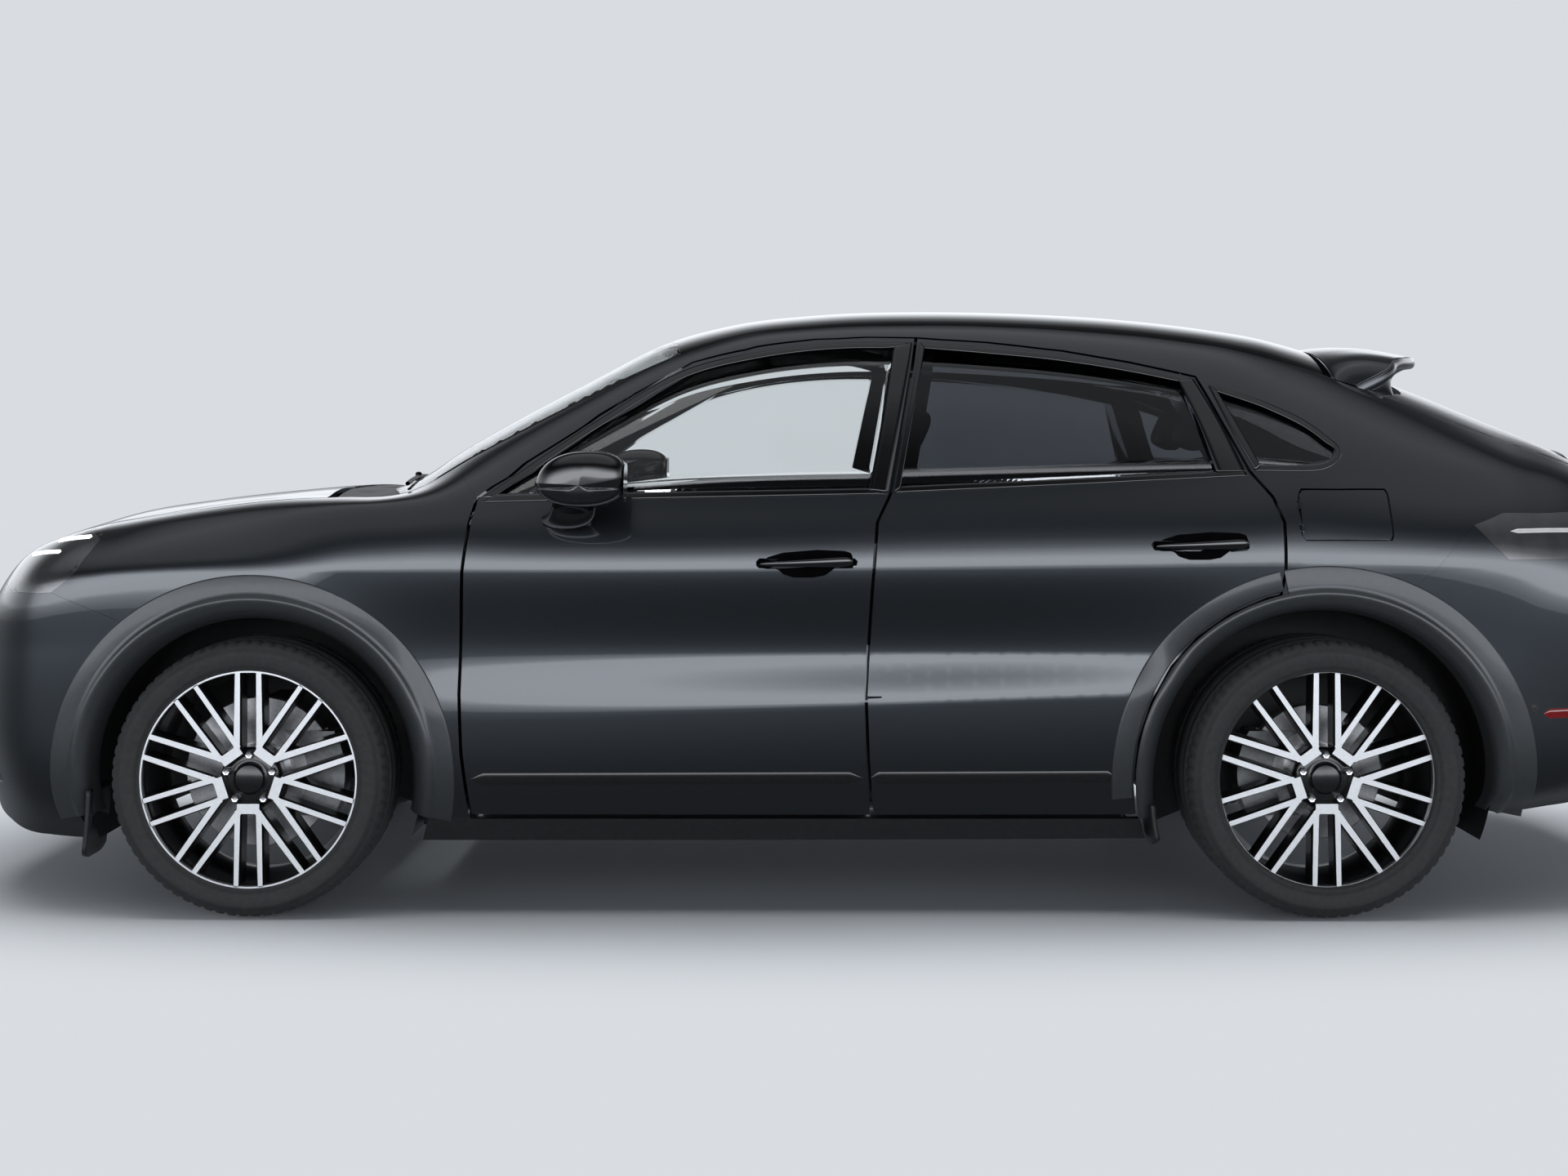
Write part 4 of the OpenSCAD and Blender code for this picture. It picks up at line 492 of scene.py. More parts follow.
# %% Glass
GLASS_WALL = 0.004
smooth_panel("windshield", "body", CLEAR, "clear_glass", only_skin=GLASS_WALL)
smooth_panel("rear_window", "tailgate", DARK, "dark_glass", depth=0.0045, only_skin=GLASS_WALL)
smooth_panel("headlamps", "body", LAMP, "lamp_clear", reach=0.04, facing=0.4)
print("glass and lamp covers", 3)

# %% [markdown]
# A tyre is a profile turned round the axle. The profile bulges over the side, rounds the shoulder and dips into four
# grooves; slots across the shoulders come from a wave in the turning angle, so the tread needs no cutting.

# %% Tyres
HALF_TRACK, WHEEL_Z = .84, .374
WHEELS = [(f"{end}_{s}", x, side, width) for end, x, width in (("front", FRONT_AXLE, .285), ("rear", REAR_AXLE, .315))
          for s, side in SIDES]


def on_wheel(x, side, a, b, d):
    """Points of a wheel: a and b in the wheel's plane, d outwards along the axle from the wheel's centre."""
    return xyz(x + a, side * (HALF_TRACK + d), WHEEL_Z + b)


def tyre_points(x, side, w, turns=288):
    """Profile radius over the width, turned once round; slots lower the shoulder blocks by 6 mm."""
    h = w / 2
    out = np.array([(.288, h - .030), (.290, h - .016), (.295, h - .012), (.302, h - .010), (.303, h - .0065),
                    (.310, h - .004), (.320, h - .0015), (.330, h - .0002), (.338, h), (.345, h - .001),
                    (.3455, h - .0022), (.350, h - .0035), (.3505, h - .0050), (.355, h - .0075), (.361, h - .0125),
                    (.366, h - .019), (.3695, h - .027), (.3715, h - .037)])
    tread = np.array([(.3722, .095), (.3725, .086), (.3655, .0845), (.3655, .0765), (.3732, .075), (.3738, .046),
                      (.3666, .0445), (.3666, .0345), (.3739, .033), (.374, 0)])
    tread[:, 1] *= h / .1425
    half = np.concatenate([out, tread])
    prof = np.concatenate([half, half[-2::-1] * [1, -1]])
    t = around(turns)
    slot, slot_depth = (np.arange(turns) % 4 == 0)[:, None], .006
    shoulder = ((abs(prof[:, 1]) > .55 * h) & (prof[:, 0] > .363))[None]
    r = prof[None, :, 0] - slot_depth * (slot & shoulder)
    return on_wheel(x, side, r * np.cos(t)[:, None], r * np.sin(t)[:, None], prof[None, :, 1])


for name, x, side, w in WHEELS:
    sheet_piece("tyre_" + name + "_tread", tyre_points(x, side, w), TYRE, "wheel_" + name, "tyre", loop_u=True,
                loop_v=True, flip=side < 0, replaces=("tyre_" + name,))
print("tyres", len(WHEELS))

# %% [markdown]
# The rim's spokes are bars: a flat machined face, a narrow bevel and dark flanks that fall back. Five groups of four
# bars cross on the way to the rim, joined by a short bar near the hub. The barrel, the hub and the bolts are turned.

# %% Rims and discs
def bar_points(p, q, w0, w1, face, deep=.052):
    """A bar from p to q: six lines along it, two for the machined face, then bevels and flanks."""
    p, q = np.array(p), np.array(q)
    d = (q - p) / np.linalg.norm(q - p)
    n = np.array([-d[1], d[0]])
    u = np.linspace(0, 1, 5)[:, None, None]
    w = w0 + (w1 - w0) * u
    off = np.concatenate([-w / 2 - .007, -w / 2 - .0035, -w / 2, w / 2, w / 2 + .0035, w / 2 + .007], 1)
    ab = p + (q - p) * u + n * off
    z = np.broadcast_to(np.array([face - deep, face - .010, face, face, face - .010, face - deep]), ab.shape[:2])
    return np.concatenate([ab, z[..., None]], 2)


def turned(profile, turns=96):
    """A profile of radius and depth turned round the axle."""
    t = around(turns)[:, None]
    pr = np.array(profile)
    return xyz(pr[:, 0] * np.cos(t), pr[:, 0] * np.sin(t), pr[:, 1])


def wheel_part(kind, wheel, grids, mats, slot, outside=1, smooth=False, closed=True, **more):
    """One piece of a wheel from grids of points in wheel coordinates; outside tells which way the faces look."""
    name, x, side, _ = wheel
    v, f = joined([(on_wheel(x, side, *np.moveaxis(g, -1, 0)), closed, False) for g in grids])
    mesh_piece(f"{kind}_{name}", v, f, mats, "wheel_" + name, slot, smooth=smooth, flip=side * outside < 0, **more)


FACE = .128
for wheel in WHEELS:
    bars = []
    for k in range(5):
        a = np.radians(54 + 72 * k)
        rot = np.array([[np.cos(a), np.sin(a)], [-np.sin(a), np.cos(a)]])
        for q in (-1, 1):
            for start, end, w0, w1, f in (((.080, q * .020), (.250, q * .1465), .017, .0135, FACE - .0002),
                                          ((.084, q * .0285), (.2885, q * .0325), .015, .0125, FACE)):
                bars.append(bar_points(np.array(start) @ rot, np.array(end) @ rot, w0, w1, f))
        bars.append(bar_points(np.array((.0785, -.030)) @ rot, np.array((.0785, .030)) @ rot, .027, .027, FACE - .0004))
    dark = np.tile(np.repeat([[1, 1, 0, 1, 1]], 4, 0).ravel(), len(bars))
    wheel_part("spokes", wheel, bars, [ALLOY, POCKET], "alloy", -1, closed=False, face_mats=dark,
               replaces=("rim_" + wheel[0],))
    ring = turned([(.2868, FACE - .006), (.2875, FACE), (.2955, FACE), (.2965, FACE - .003), (.2965, FACE - .012)], 192)
    wheel_part("rim_ring", wheel, [ring], [ALLOY], "alloy", -1)
    barrel = turned([(.2965, FACE - .012), (.2868, FACE - .006), (.284, FACE - .03), (.274, FACE - .07),
                     (.268, FACE - .15), (.272, FACE - .22), (.286, -.131), (.290, -.131), (.290, FACE - .02)], 128)
    hub = turned([(.001, FACE - .010), (.036, FACE - .010), (.0385, FACE - .012), (.039, FACE - .020),
                  (.050, FACE - .021), (.074, FACE - .022), (.082, FACE - .034), (.086, FACE - .075), (.075, .052)])
    wheel_part("barrel", wheel, [barrel, hub], [POCKET], "alloy", smooth=True)
    bolt = turned([(.0005, FACE - .017), (.0045, FACE - .017), (.005, FACE - .008), (.0095, FACE - .007),
                   (.0108, FACE - .010), (.0108, FACE - .024)], 6)
    places = [np.array([.065 * np.cos(a), .065 * np.sin(a), 0]) for a in np.radians(90 + 72 * np.arange(5))]
    wheel_part("bolts", wheel, [bolt + c for c in places], [STEEL], "steel")
    disc_r = .205 if "front" in wheel[0] else .185
    disc = turned([(.085, -.013), (disc_r - .002, -.013), (disc_r, -.015), (disc_r, -.045), (disc_r - .002, -.047),
                   (.085, -.047), (.085, -.013)])
    bell = turned([(.034, .046), (.070, .046), (.078, .042), (.085, -.013)])
    wheel_part("disc", wheel, [disc, bell], [STEEL], "steel")
print("rims", len(WHEELS), "bars in each", len(bars))

# %% [markdown]
# The side windows are panes a little below the body's surface. Each pane is ruled between its lower and its upper
# edge, so the edges stay smooth curves, and it is a few millimetres larger than the opening it closes.

# %% Side windows
WINDOW = dict(
    front=(((1.226, .674), (1.40, .6795), (1.581, .684)),
           ((1.226, .674), (1.318, .787), (1.409, .879), (1.47, .905), (1.528, .919), (1.577, .923), (1.607, .923))),
    rear=(((1.602, .687), (1.76, .699), (1.908, .712)),
          ((1.629, .923), (1.694, .914), (1.767, .901), (1.832, .883), (1.882, .866))),
    quarter=(((1.943, .723), (1.984, .722), (2.02, .726), (2.044, .732)),
             ((1.911, .852), (1.963, .820), (2.004, .784), (2.035, .765), (2.056, .751))))


def curve(rows, n):
    """n points along a smooth curve through rows of station and share of the height, evenly spread by length."""
    p = side_line(rows)
    s = np.concatenate([[0], np.cumsum(np.linalg.norm(np.diff(p, axis=0), axis=1))])
    fine = np.linspace(0, s[-1], 400)
    if len(p) > 2:
        q = line_at(np.column_stack([s, p]), fine)
    else:
        q = np.stack([np.interp(fine, s, p[:, k]) for k in (0, 1)], 1)
    return q[np.linspace(0, 399, n).astype(int)]


def band(low, high, n=60, m=7, lift=0.0, side=-1):
    """A surface on the body's side ruled between two curves of the side view."""
    v = np.linspace(0, 1, m)[None, :, None]
    xz = curve(low, n)[:, None] * (1 - v) + curve(high, n)[:, None] * v
    return skin(xz[..., 0], xz[..., 1], lift, side)


GLASS_LIFT = -.009
for s, side in SIDES:
    for part, mat, slot in (("front", CLEAR, "clear_glass"), ("rear", DARK, "dark_glass")):
        sheet_piece(f"pane_{part}_{s}", band(*WINDOW[part], lift=GLASS_LIFT, side=side), mat, f"door_{part}_{s}", slot,
                    thick=GLASS_WALL, flip=side > 0, replaces=(f"glass_{part}_{s}",))
v, f = joined([(band(*WINDOW["quarter"], lift=GLASS_LIFT, side=side), False, False) for _, side in SIDES])
half = len(f) // 2
f[half:] = f[half:, ::-1]
add_wall(mesh_piece("quarter_panes", v, f, [DARK], "body", "dark_glass", replaces=("quarter_windows",)), GLASS_WALL)
print("panes", 6)

# %% [markdown]
# Around the windows the doors are covered in gloss black. The covers lie a millimetre above the skin and stop at the
# door's own edges, so that they swing with it. A narrow strip under each window covers the joint to the paint.

# %% Window covers
COVER_LIFT, COVER_WALL = .0013, .002
COVER = dict(
    front=[(((1.2225, .6725), (1.316, .785), (1.408, .877), (1.47, .903), (1.528, .917), (1.577, .921), (1.601, .921)),
            ((1.212, .6715), (1.265, .7375), (1.32, .8025), (1.408, .889), (1.47, .9132), (1.528, .9265),
             (1.577, .9305), (1.6215, .9298))),
           (((1.5765, .684), (1.59, .80), (1.6035, .9215)), ((1.5945, .6805), (1.6075, .793), (1.6222, .9298))),
           (((1.212, .6645), (1.40, .6715), (1.5945, .678)), ((1.2225, .6765), (1.40, .6822), (1.578, .6875)))],
    rear=[(((1.6005, .6805), (1.6135, .793), (1.6292, .9298)), ((1.606, .688), (1.619, .80), (1.6335, .9215))),
          (((1.6325, .9205), (1.694, .9115), (1.767, .8985), (1.832, .8805), (1.880, .8635)),
           ((1.6292, .9298), (1.694, .9215), (1.767, .9085), (1.832, .8905), (1.8935, .868))),
          (((1.9045, .714), (1.893, .79), (1.8785, .8645)), ((1.932, .7145), (1.915, .79), (1.8935, .868))),
          (((1.6005, .680), (1.76, .6925), (1.934, .7075)), ((1.604, .6905), (1.76, .7025), (1.931, .7165)))])
for s, side in SIDES:
    for part, bands in COVER.items():
        for k, (low, high) in enumerate(bands):
            sheet_piece(f"window_cover_{part}_{s}_{k}", band(low, high, 80, 5, COVER_LIFT, side), GLOSS,
                        f"door_{part}_{s}", "gloss_black", flip=side > 0, thick=COVER_WALL)
QUARTER_RING = [(1.9085, .8585), (1.963, .8275), (2.004, .7925), (2.040, .7715), (2.064, .754), (2.0665, .744),
                (2.050, .729), (2.02, .7185), (1.984, .7145), (1.9405, .7155)]
QUARTER_EDGE = [(1.915, .847), (1.963, .8165), (2.004, .7795), (2.034, .7615), (2.0515, .751), (2.052, .745),
                (2.040, .7355), (2.018, .7285), (1.984, .7255), (1.9465, .7255)]
for s, side in SIDES:
    sheet_piece("quarter_cover_" + s, band(QUARTER_EDGE, QUARTER_RING, 100, 5, COVER_LIFT, side), GLOSS, "body",
                "gloss_black", flip=side > 0, thick=COVER_WALL)
    pillar = band(((1.9465, .7245), (1.93, .79), (1.9145, .848)), ((1.9415, .7165), (1.922, .79), (1.9075, .858)),
                  40, 5, COVER_LIFT, side)
    sheet_piece("pillar_cover_" + s, pillar, GLOSS, "body", "gloss_black", flip=side < 0, thick=COVER_WALL)
print("window covers", sum(len(b) for b in COVER.values()) * 2 + 4)

# %% [markdown]
# The wheel arches wear a broad satin band with a raised lip. The band is a profile carried round the wheel: flat on
# the body, a rounded step, and a face that turns inwards to the opening. Behind the door's edge it rides the door.

# %% Arch bands
def arch_band(cx, angles, profile, side):
    """Profile of radius and offset from the skin, swept round a wheel centre."""
    pr = np.array(profile)
    t = np.radians(angles)[:, None]
    x, z = cx + pr[:, 0] * np.cos(t), WHEEL_Z + pr[:, 0] * np.sin(t)
    return skin(x, np.maximum(z, .2), 0, side) + np.array([0, side, 0]) * pr[None, :, 1:2]


def arch_profile(opening, lip, outer, first=0):
    """Outer edge, flat band, rounded lip and the face that turns into the arch."""
    full = [(outer, .0002), (outer - .0012, .0030), (outer - .004, .0040), (lip + .014, .0045), (lip + .006, .0052),
            (lip + .002, .0075), (lip - .001, .0105), (lip - .005, .0128), (lip - .011, .0132), (lip - .020, .0105),
            (lip - .034, .0010), (lip - .048, -.013), (opening + .010, -.031), (opening + .002, -.046),
            (opening, -.060)]
    return full[first:]


for s, side in SIDES:
    front = arch_band(FRONT_AXLE, np.linspace(-13, 193, 190), arch_profile(.428, .492, .549), side)
    back = arch_band(REAR_AXLE, np.linspace(-12, 101.6, 110), arch_profile(.450, .5075, .574), side)
    inner = arch_band(REAR_AXLE, np.linspace(101.6, 193, 90), arch_profile(.450, .5075, .574, 5), side)
    for k, p in enumerate((front, back, inner)):
        sheet_piece(f"arch_band_{s}_{k}", p, CLADDING, "body", "satin_black", flip=side > 0,
                    replaces=("arch_trims",) if k == 0 else ())
    rim = [(.574, .0002), (.5728, .0030), (.570, .0040), (.545, .0045), (.5215, .0050), (.5185, .004), (.5178, .0)]
    sheet_piece("arch_band_door_" + s, arch_band(REAR_AXLE, np.linspace(102.9, 186, 90), rim, side), CLADDING,
                "door_rear_" + s, "satin_black", flip=side > 0)
print("arch bands", 8)

# %% [markdown]
# Inside each arch a dark shell keeps the light out: a half tube above the tyre, and a wall behind the wheel that the
# axle passes through below its edge.

# %% Arch shells
def arch_shell(cx, radius, y_out, y_in, side):
    """Half tube from the outer edge inwards, then a flat wall towards the axle."""
    t = np.radians(np.linspace(-22, 202, 90))[:, None]
    r = np.array([radius, radius, radius, radius, radius - .03, .30, .20, .11])[None]
    y = np.array([y_out, (y_out * 2 + y_in) / 3, (y_out + y_in * 2) / 3, y_in + .02, y_in, y_in, y_in, y_in])[None]
    return xyz(cx + r * np.cos(t), side * y, WHEEL_Z + r * np.sin(t))


for s, side in SIDES:
    for k, sizes in enumerate(((FRONT_AXLE, .455, .895, .475), (REAR_AXLE, .468, .895, .66))):
        sheet_piece(f"arch_shell_{s}_{k}", arch_shell(*sizes, side), SATIN, "body", "satin_black", flip=side > 0)
print("arch shells", 4)

# %% [markdown]
# Each door has a bow handle with painted shade behind it. The recess is not cut: it is a near-black patch on the skin
# with a pointed front end and a cup below, standing in for the shade in the hollow; the handle is an oval carried
# along a line that leaves the skin and comes back to it.

# %% Door handles
def powered(a, e):
    """Sine or cosine raised to a power with its sign kept."""
    return np.sign(a) * abs(a) ** e


UPPER_EDGE = np.array([(0, .0), (.03, .010), (.086, .019), (.247, .031), (.617, .0385), (.914, .0355), (.985, .030),
                       (1, .019)])
LOWER_EDGE = np.array([(0, -.001), (.03, -.0105), (.074, -.0125), (.17, -.0125), (.205, -.016), (.25, -.027),
                       (.36, -.0355), (.58, -.0355), (.70, -.030), (.75, -.021), (.80, -.0118), (.95, -.010),
                       (.985, -.005), (1, .006)])


def handle_parts(x0, x1, z, side):
    """Painted-shade patch between an upper and a lower edge given as offsets over the length, and a wedge swept along
    the bow.
    """
    u = np.linspace(0, 1, 91)
    x = x0 + (x1 - x0) * u
    up, low = (z + np.interp(u, *e.T) for e in (UPPER_EDGE, LOWER_EDGE))
    v = np.linspace(0, 1, 9)[None]
    zz = low[:, None] * (1 - v) + up[:, None] * v
    patch = skin(np.broadcast_to(x[:, None], zz.shape), zz, .0012, side)
    rise = np.sin(np.pi * np.clip(u * .96 + .02, 0, 1)) ** .45
    t = around(28)[None]
    tip = np.sqrt(np.clip(1 - (2 * np.clip(u, .005, .995) - 1) ** 10, 0, 1))[:, None]
    thick = (.0050 + .0098 * u)[:, None] * tip
    core = skin(x[:, None], (z + .0005 + .007 * u)[:, None], 0, side)
    out = (.006 + .020 * rise)[:, None]
    bow = np.broadcast_to(core, (91, 28, 3)).copy()
    bow[..., 1] += side * (out + .45 * thick * np.cos(t))
    bow[..., 2] += thick * powered(np.sin(t), .7)
    return patch, bow


HANDLES = dict(front=(-.187, .063, .951), rear=(.878, 1.126, .999))
for s, side in SIDES:
    for part, (x0, x1, z) in HANDLES.items():
        patch, bow = handle_parts(x0, x1, z, side)
        # painted shade: a near-black patch on the skin stands in for the shaded hollow behind the handle
        sheet_piece(f"handle_shade_patch_{part}_{s}", patch, PAINTED_RECESS_SHADE, f"door_{part}_{s}", "satin_black", flip=side > 0)
        sheet_piece(f"handle_bow_{part}_{s}", bow, GLOSS, f"door_{part}_{s}", "gloss_black", loop_v=True,
                    flip=side > 0)
print("handles", 4)

# %% [markdown]
# A mirror is a rounded shell with a groove between the painted cap and the lower half, a flat glass at the back and a
# curved foot on the door. The shell is a ball whose sines are raised to a power, which squares it off.

# %% Mirrors
MIRROR, GROOVE_Z = (-.660, 1.015, 1.166), 1.160


def mirror_shell(side):
    """Squared ball, lower at the front, cut flat at the back, pinched at the groove."""
    u = np.linspace(0, 2 * np.pi, 97)[:-1, None]
    v = np.linspace(-np.pi / 2, np.pi / 2, 49)[None]
    a = powered(np.cos(v), .55) * powered(np.cos(u), .85)
    b = powered(np.cos(v), .55) * powered(np.sin(u), .85)
    c = np.broadcast_to(powered(np.sin(v), .7), a.shape)
    z = MIRROR[2] + np.where(b > 0, .091, .058) * b
    groove = 1 - .035 * np.exp(-((z - GROOVE_Z) / .0035) ** 2)
    x = MIRROR[0] + .124 * a * groove * np.where(b > 0, 1, 1 + .12 * b) + .20 * np.clip(z - MIRROR[2], 0, 1)
    y = side * (MIRROR[1] + .088 * c * groove * (1 - .20 * np.clip(-a, 0, 1)))
    return xyz(np.minimum(x, -.546 + .03 * (z - 1.17)), y, z)


for s, side in SIDES:
    p = mirror_shell(side)
    faces = grid_faces(*p.shape[:2], loop_u=True)
    zc = p.reshape(-1, 3)[faces][..., 2].mean(1)
    mesh_piece("mirror_shell_" + s, p.reshape(-1, 3), faces, [GLOSS, POCKET], "door_front_" + s, "gloss_black",
               (zc < GROOVE_Z).astype(int), replaces=("mirror_" + s,), flip=side > 0)
    t = around(64)[:, None]
    r = np.linspace(.02, 1, 8)[None]
    z = 1.172 + .052 * r * powered(np.sin(t), .8)
    y = side * (MIRROR[1] + .066 * r * powered(np.cos(t), .6))
    glass = xyz(-.5440 + .03 * (z - 1.17), y, z)
    sheet_piece("mirror_glass_" + s, glass, CHROME, "door_front_" + s, "steel", loop_u=True, flip=side < 0)
    w = np.linspace(0, 1, 24)[:, None]
    path = xyz(-.682 - .030 * w ** 1.3, side * (1.005 - .085 * w), 1.112 - .040 * w - .010 * np.sin(np.pi * w))
    t = around(24)
    foot = path + xyz(.058 * np.cos(t), 0, .024 * np.sin(t)) * (1 + .15 * w[..., None])
    sheet_piece("mirror_foot_" + s, foot, POCKET, "door_front_" + s, "satin_black", loop_v=True, flip=side < 0)
print("mirrors", 2)

# %% [markdown]
# The lamps get their light guides as raised strips on the lens: two white bars in each headlamp and a thin line along
# each tail lamp. A dark strip runs along the foot of each door. A strip is a low ridge along a curve of the side view.

# %% Light strips
def strip(rows, width, height, side, n=60):
    """A ridge along a curve on the skin: six points across, highest in the middle."""
    c = curve(rows, n)
    d = np.gradient(c, axis=0)
    nrm = np.stack([-d[:, 1], d[:, 0]], 1) / np.linalg.norm(d, axis=1, keepdims=True)
    o = np.array([-1, -.8, -.35, .35, .8, 1])
    h = height * np.array([0, .75, 1, 1, .75, 0])
    end = np.clip(np.minimum(np.arange(n), n - 1 - np.arange(n)) / 3.0, 0.02, 1)[:, None]
    xz = c[:, None] + nrm[:, None] * (o * width / 2)[None, :, None] * end[..., None]
    return skin(xz[..., 0], xz[..., 1], np.broadcast_to(h, xz.shape[:2]) * end, side)


LAMP_BARS = (((.346, .5985), (.42, .6045), (.472, .607)), ((.262, .575), (.33, .581), (.392, .5835)))
TAIL_LINE = ((2.45, .619), (2.55, .620), (2.70, .617), (2.84, .606))
DOOR_LINES = dict(front=((1.2045, .2205), (1.39, .2215), (1.5705, .2225)),
                  rear=((1.5775, .2227), (1.69, .2235), (1.806, .2245)))
for s, side in SIDES:
    for k, rows in enumerate(LAMP_BARS):
        sheet_piece(f"headlamp_bar_{s}_{k}", strip(rows, .0095, .0022, side), LIGHT, "body", "lamp_clear",
                    flip=side < 0)
    sheet_piece("tail_line_" + s, strip(TAIL_LINE, .012, .002, side), LINE, "body", "lamp_red", flip=side < 0)
    for part, rows in DOOR_LINES.items():
        sheet_piece(f"door_strip_{part}_{s}", strip(rows, .034, .0022, side, 90), POCKET, f"door_{part}_{s}",
                    "satin_black", flip=side < 0)
print("strips", 10)

# %% [markdown]
# Small round sensors, red reflectors and rubber deflectors ahead of the wheels finish the lower body.

# %% Sensors, reflectors and deflectors
def disc_on_skin(x, z, r, side):
    """Rings of points round a place on the skin, domed by a millimetre and a half."""
    t = around(32)[:, None]
    q = np.array([[.03, .0015], [.55, .0015], [.72, .0004], [.8, .0014], [.95, .0012], [1, 0]])
    return skin(x + r * q[:, 0] * np.cos(t), z + r * q[:, 0] * np.sin(t), np.broadcast_to(q[:, 1], (32, 6)), side)


def deflector(x, z0, z1, side, lean):
    """A curved rubber plate across the tyre: along the car by height, rounded at the lower corners."""
    u = np.linspace(-1, 1, 21)[:, None]
    v = np.linspace(0, 1, 13)[None]
    z = z1 + (z0 + .02 * abs(u) ** 4 - z1) * v
    return xyz(x + lean * v ** 1.6 + .008 * u * u, side * (.855 + .085 * u), z)


for s, side in SIDES:
    for k, (x, z) in enumerate(((-2.035, .533), (1.897, .566))):
        sheet_piece(f"sensor_{s}_{k}", disc_on_skin(x, z, .0115, side), SATIN, "body", "satin_black", loop_u=True,
                    flip=side > 0)
    sheet_piece("reflector_" + s, strip(((2.52, .327), (2.60, .3285), (2.70, .329), (2.80, .328)), .026, .003, side),
                RED, "body", "lamp_red", flip=side < 0)
    for k, (x, z0, z1, lean) in enumerate(((-2.0, .152, .34, -.012), (.872, .188, .30, .012))):
        sheet_piece(f"deflector_{s}_{k}", deflector(x, z0, z1, side, lean), SATIN, "body", "satin_black", thick=.012)
print("small parts", 10)

# %% [markdown]
# The roof spoiler is one shell: a section with a long upper face, a rounded tip and a dark underside, drawn across
# the car and pulled down at its ends. Its root follows the roof.

# %% Roof spoiler
def roof_z(x, y):
    """Height of the form above a point of the plan."""
    _, _, row = rows_at(np.ravel(x))
    shoulder = 4 * STEPS
    top = row[:, shoulder:][:, ::-1]
    k = np.clip((top[..., 0] <= abs(np.ravel(y))[:, None]).sum(1) - 1, 0, top.shape[1] - 2)
    r = np.arange(len(k))
    a, b = top[r, k], top[r, k + 1]
    w = np.clip((abs(np.ravel(y)) - a[:, 0]) / (b[:, 0] - a[:, 0] + 1e-9), 0, 1)
    return (a[:, 1] + (b[:, 1] - a[:, 1]) * w).reshape(np.shape(x))


SPAN = np.array([(0, 2.425, .9155), (.20, 2.405, .915), (.36, 2.35, .912), (.47, 2.29, .905), (.545, 2.235, .880),
                 (.575, 2.165, .859)])
END, TIP_R = SPAN[-1, 0], .010
share = np.linspace(-END, END, 121)
tip_x, tip_z = line_at(np.column_stack([SPAN[:, 0], station(SPAN[:, 1]), SPAN[:, 2] * HEIGHT]), abs(share)).T[..., None]
y = (share * HALF_W)[:, None]
fade = np.clip((END - abs(share)) / .03, 0, 1)[:, None] ** .5
root_x, heel_x = station(2.115), station(2.275)
root_z = roof_z(np.full_like(y, root_x), y) + .0015
heel_z = roof_z(np.full_like(y, heel_x), y) - .004
u = np.linspace(0, 1, 24)[None]
top_z = root_z + (tip_z - root_z) * u + (.020 * np.sin(np.pi * u ** .8)) * fade
upper = xyz(root_x + (tip_x - root_x) * u, y, top_z)
a = np.linspace(0, np.pi, 9)[None]
round_tip = xyz(tip_x + TIP_R * np.sin(a), y, tip_z - TIP_R + TIP_R * np.cos(a) - .012 * (a / np.pi))
w = np.linspace(0, 1, 14)[None]
under = xyz(tip_x - .006 + (heel_x - tip_x + .006) * w, y, (tip_z - .032) + (heel_z - tip_z + .032) * w ** .8)
shell = np.concatenate([upper, round_tip, under], 1)
quads = np.arange(shell.shape[1] - 1)
first_dark = upper.shape[1] + round_tip.shape[1] - 1
dark = np.broadcast_to(quads >= first_dark, (len(share) - 1, len(quads))).ravel().astype(int)
mesh_piece("spoiler_shell", shell.reshape(-1, 3), grid_faces(*shell.shape[:2]), [PAINT, POCKET], "tailgate", "paint",
           dark, replaces=("roof_spoiler",))
print("spoiler", shell.shape)

# %% [markdown]
# The seats are padded leather. Each pad is a closed crowned form, a squared ball whose sides pull in between the
# corners, with sewn channels pressed into its face; cushion, backrest, bolsters and headrest are one piece a seat.

# %% Seats
SEAT_Y, BENCH_STEP = .3966, .385


def pad(center, size, lean, channels=0, power=.32):
    """Squared ball of a given size, leant back in the side view, with grooves along its upper face."""
    u = np.linspace(-np.pi, np.pi, 73)[:-1, None]
    v = np.linspace(-np.pi / 2, np.pi / 2, 37)[None]
    a = powered(np.cos(v), power) * powered(np.cos(u), power)
    b = powered(np.cos(v), power) * powered(np.sin(u), power)
    c = np.broadcast_to(powered(np.sin(v), .62), a.shape)
    crown = 1 + .10 * (1 - a * a) * (1 - b * b)
    pull = 1 - .025 * (1 - c * c) * (1 - abs(a * b))
    cut = np.zeros_like(a)
    for k in range(channels):
        cut = cut + np.exp(-((a - (2 * (k + 1) / (channels + 1) - 1)) / .028) ** 2)
    x, y = size[0] / 2 * a * pull, size[1] / 2 * b * pull
    z = size[2] / 2 * c * crown - .010 * np.clip(cut, 0, 1) * np.clip(c, 0, 1)
    s, k = np.sin(np.radians(lean)), np.cos(np.radians(lean))
    return xyz(center[0] + x * k + z * s, center[1] + y, center[2] - x * s + z * k)


def seat_pads(x, y, w, head):
    """Cushion, backrest, two side bolsters on each, and a headrest for one place."""
    flat, lean = 2, -66
    parts = [pad((x - .265, y, .640), (.50, w - .10, .13), flat, 4),
             pad((x + .105, y, .955), (.56, w - .10, .11), lean, 5),
             pad((x + .235, y, 1.318), (.13, head, .085), lean, power=.45)]
    for edge in (y - (w / 2 - .045), y + (w / 2 - .045)):
        parts.append(pad((x - .265, edge, .655), (.49, .10, .15), flat, power=.5))
        parts.append(pad((x + .090, edge, .93), (.50, .10, .125), lean, power=.5))
    return parts


def seat_piece(name, parts, node):
    """One padded piece from several closed pads."""
    v, f = joined([(p, True, False) for p in parts])
    ob = mesh_piece(name, v, f, [LEATHER], "body", "leather", replaces=(node,))


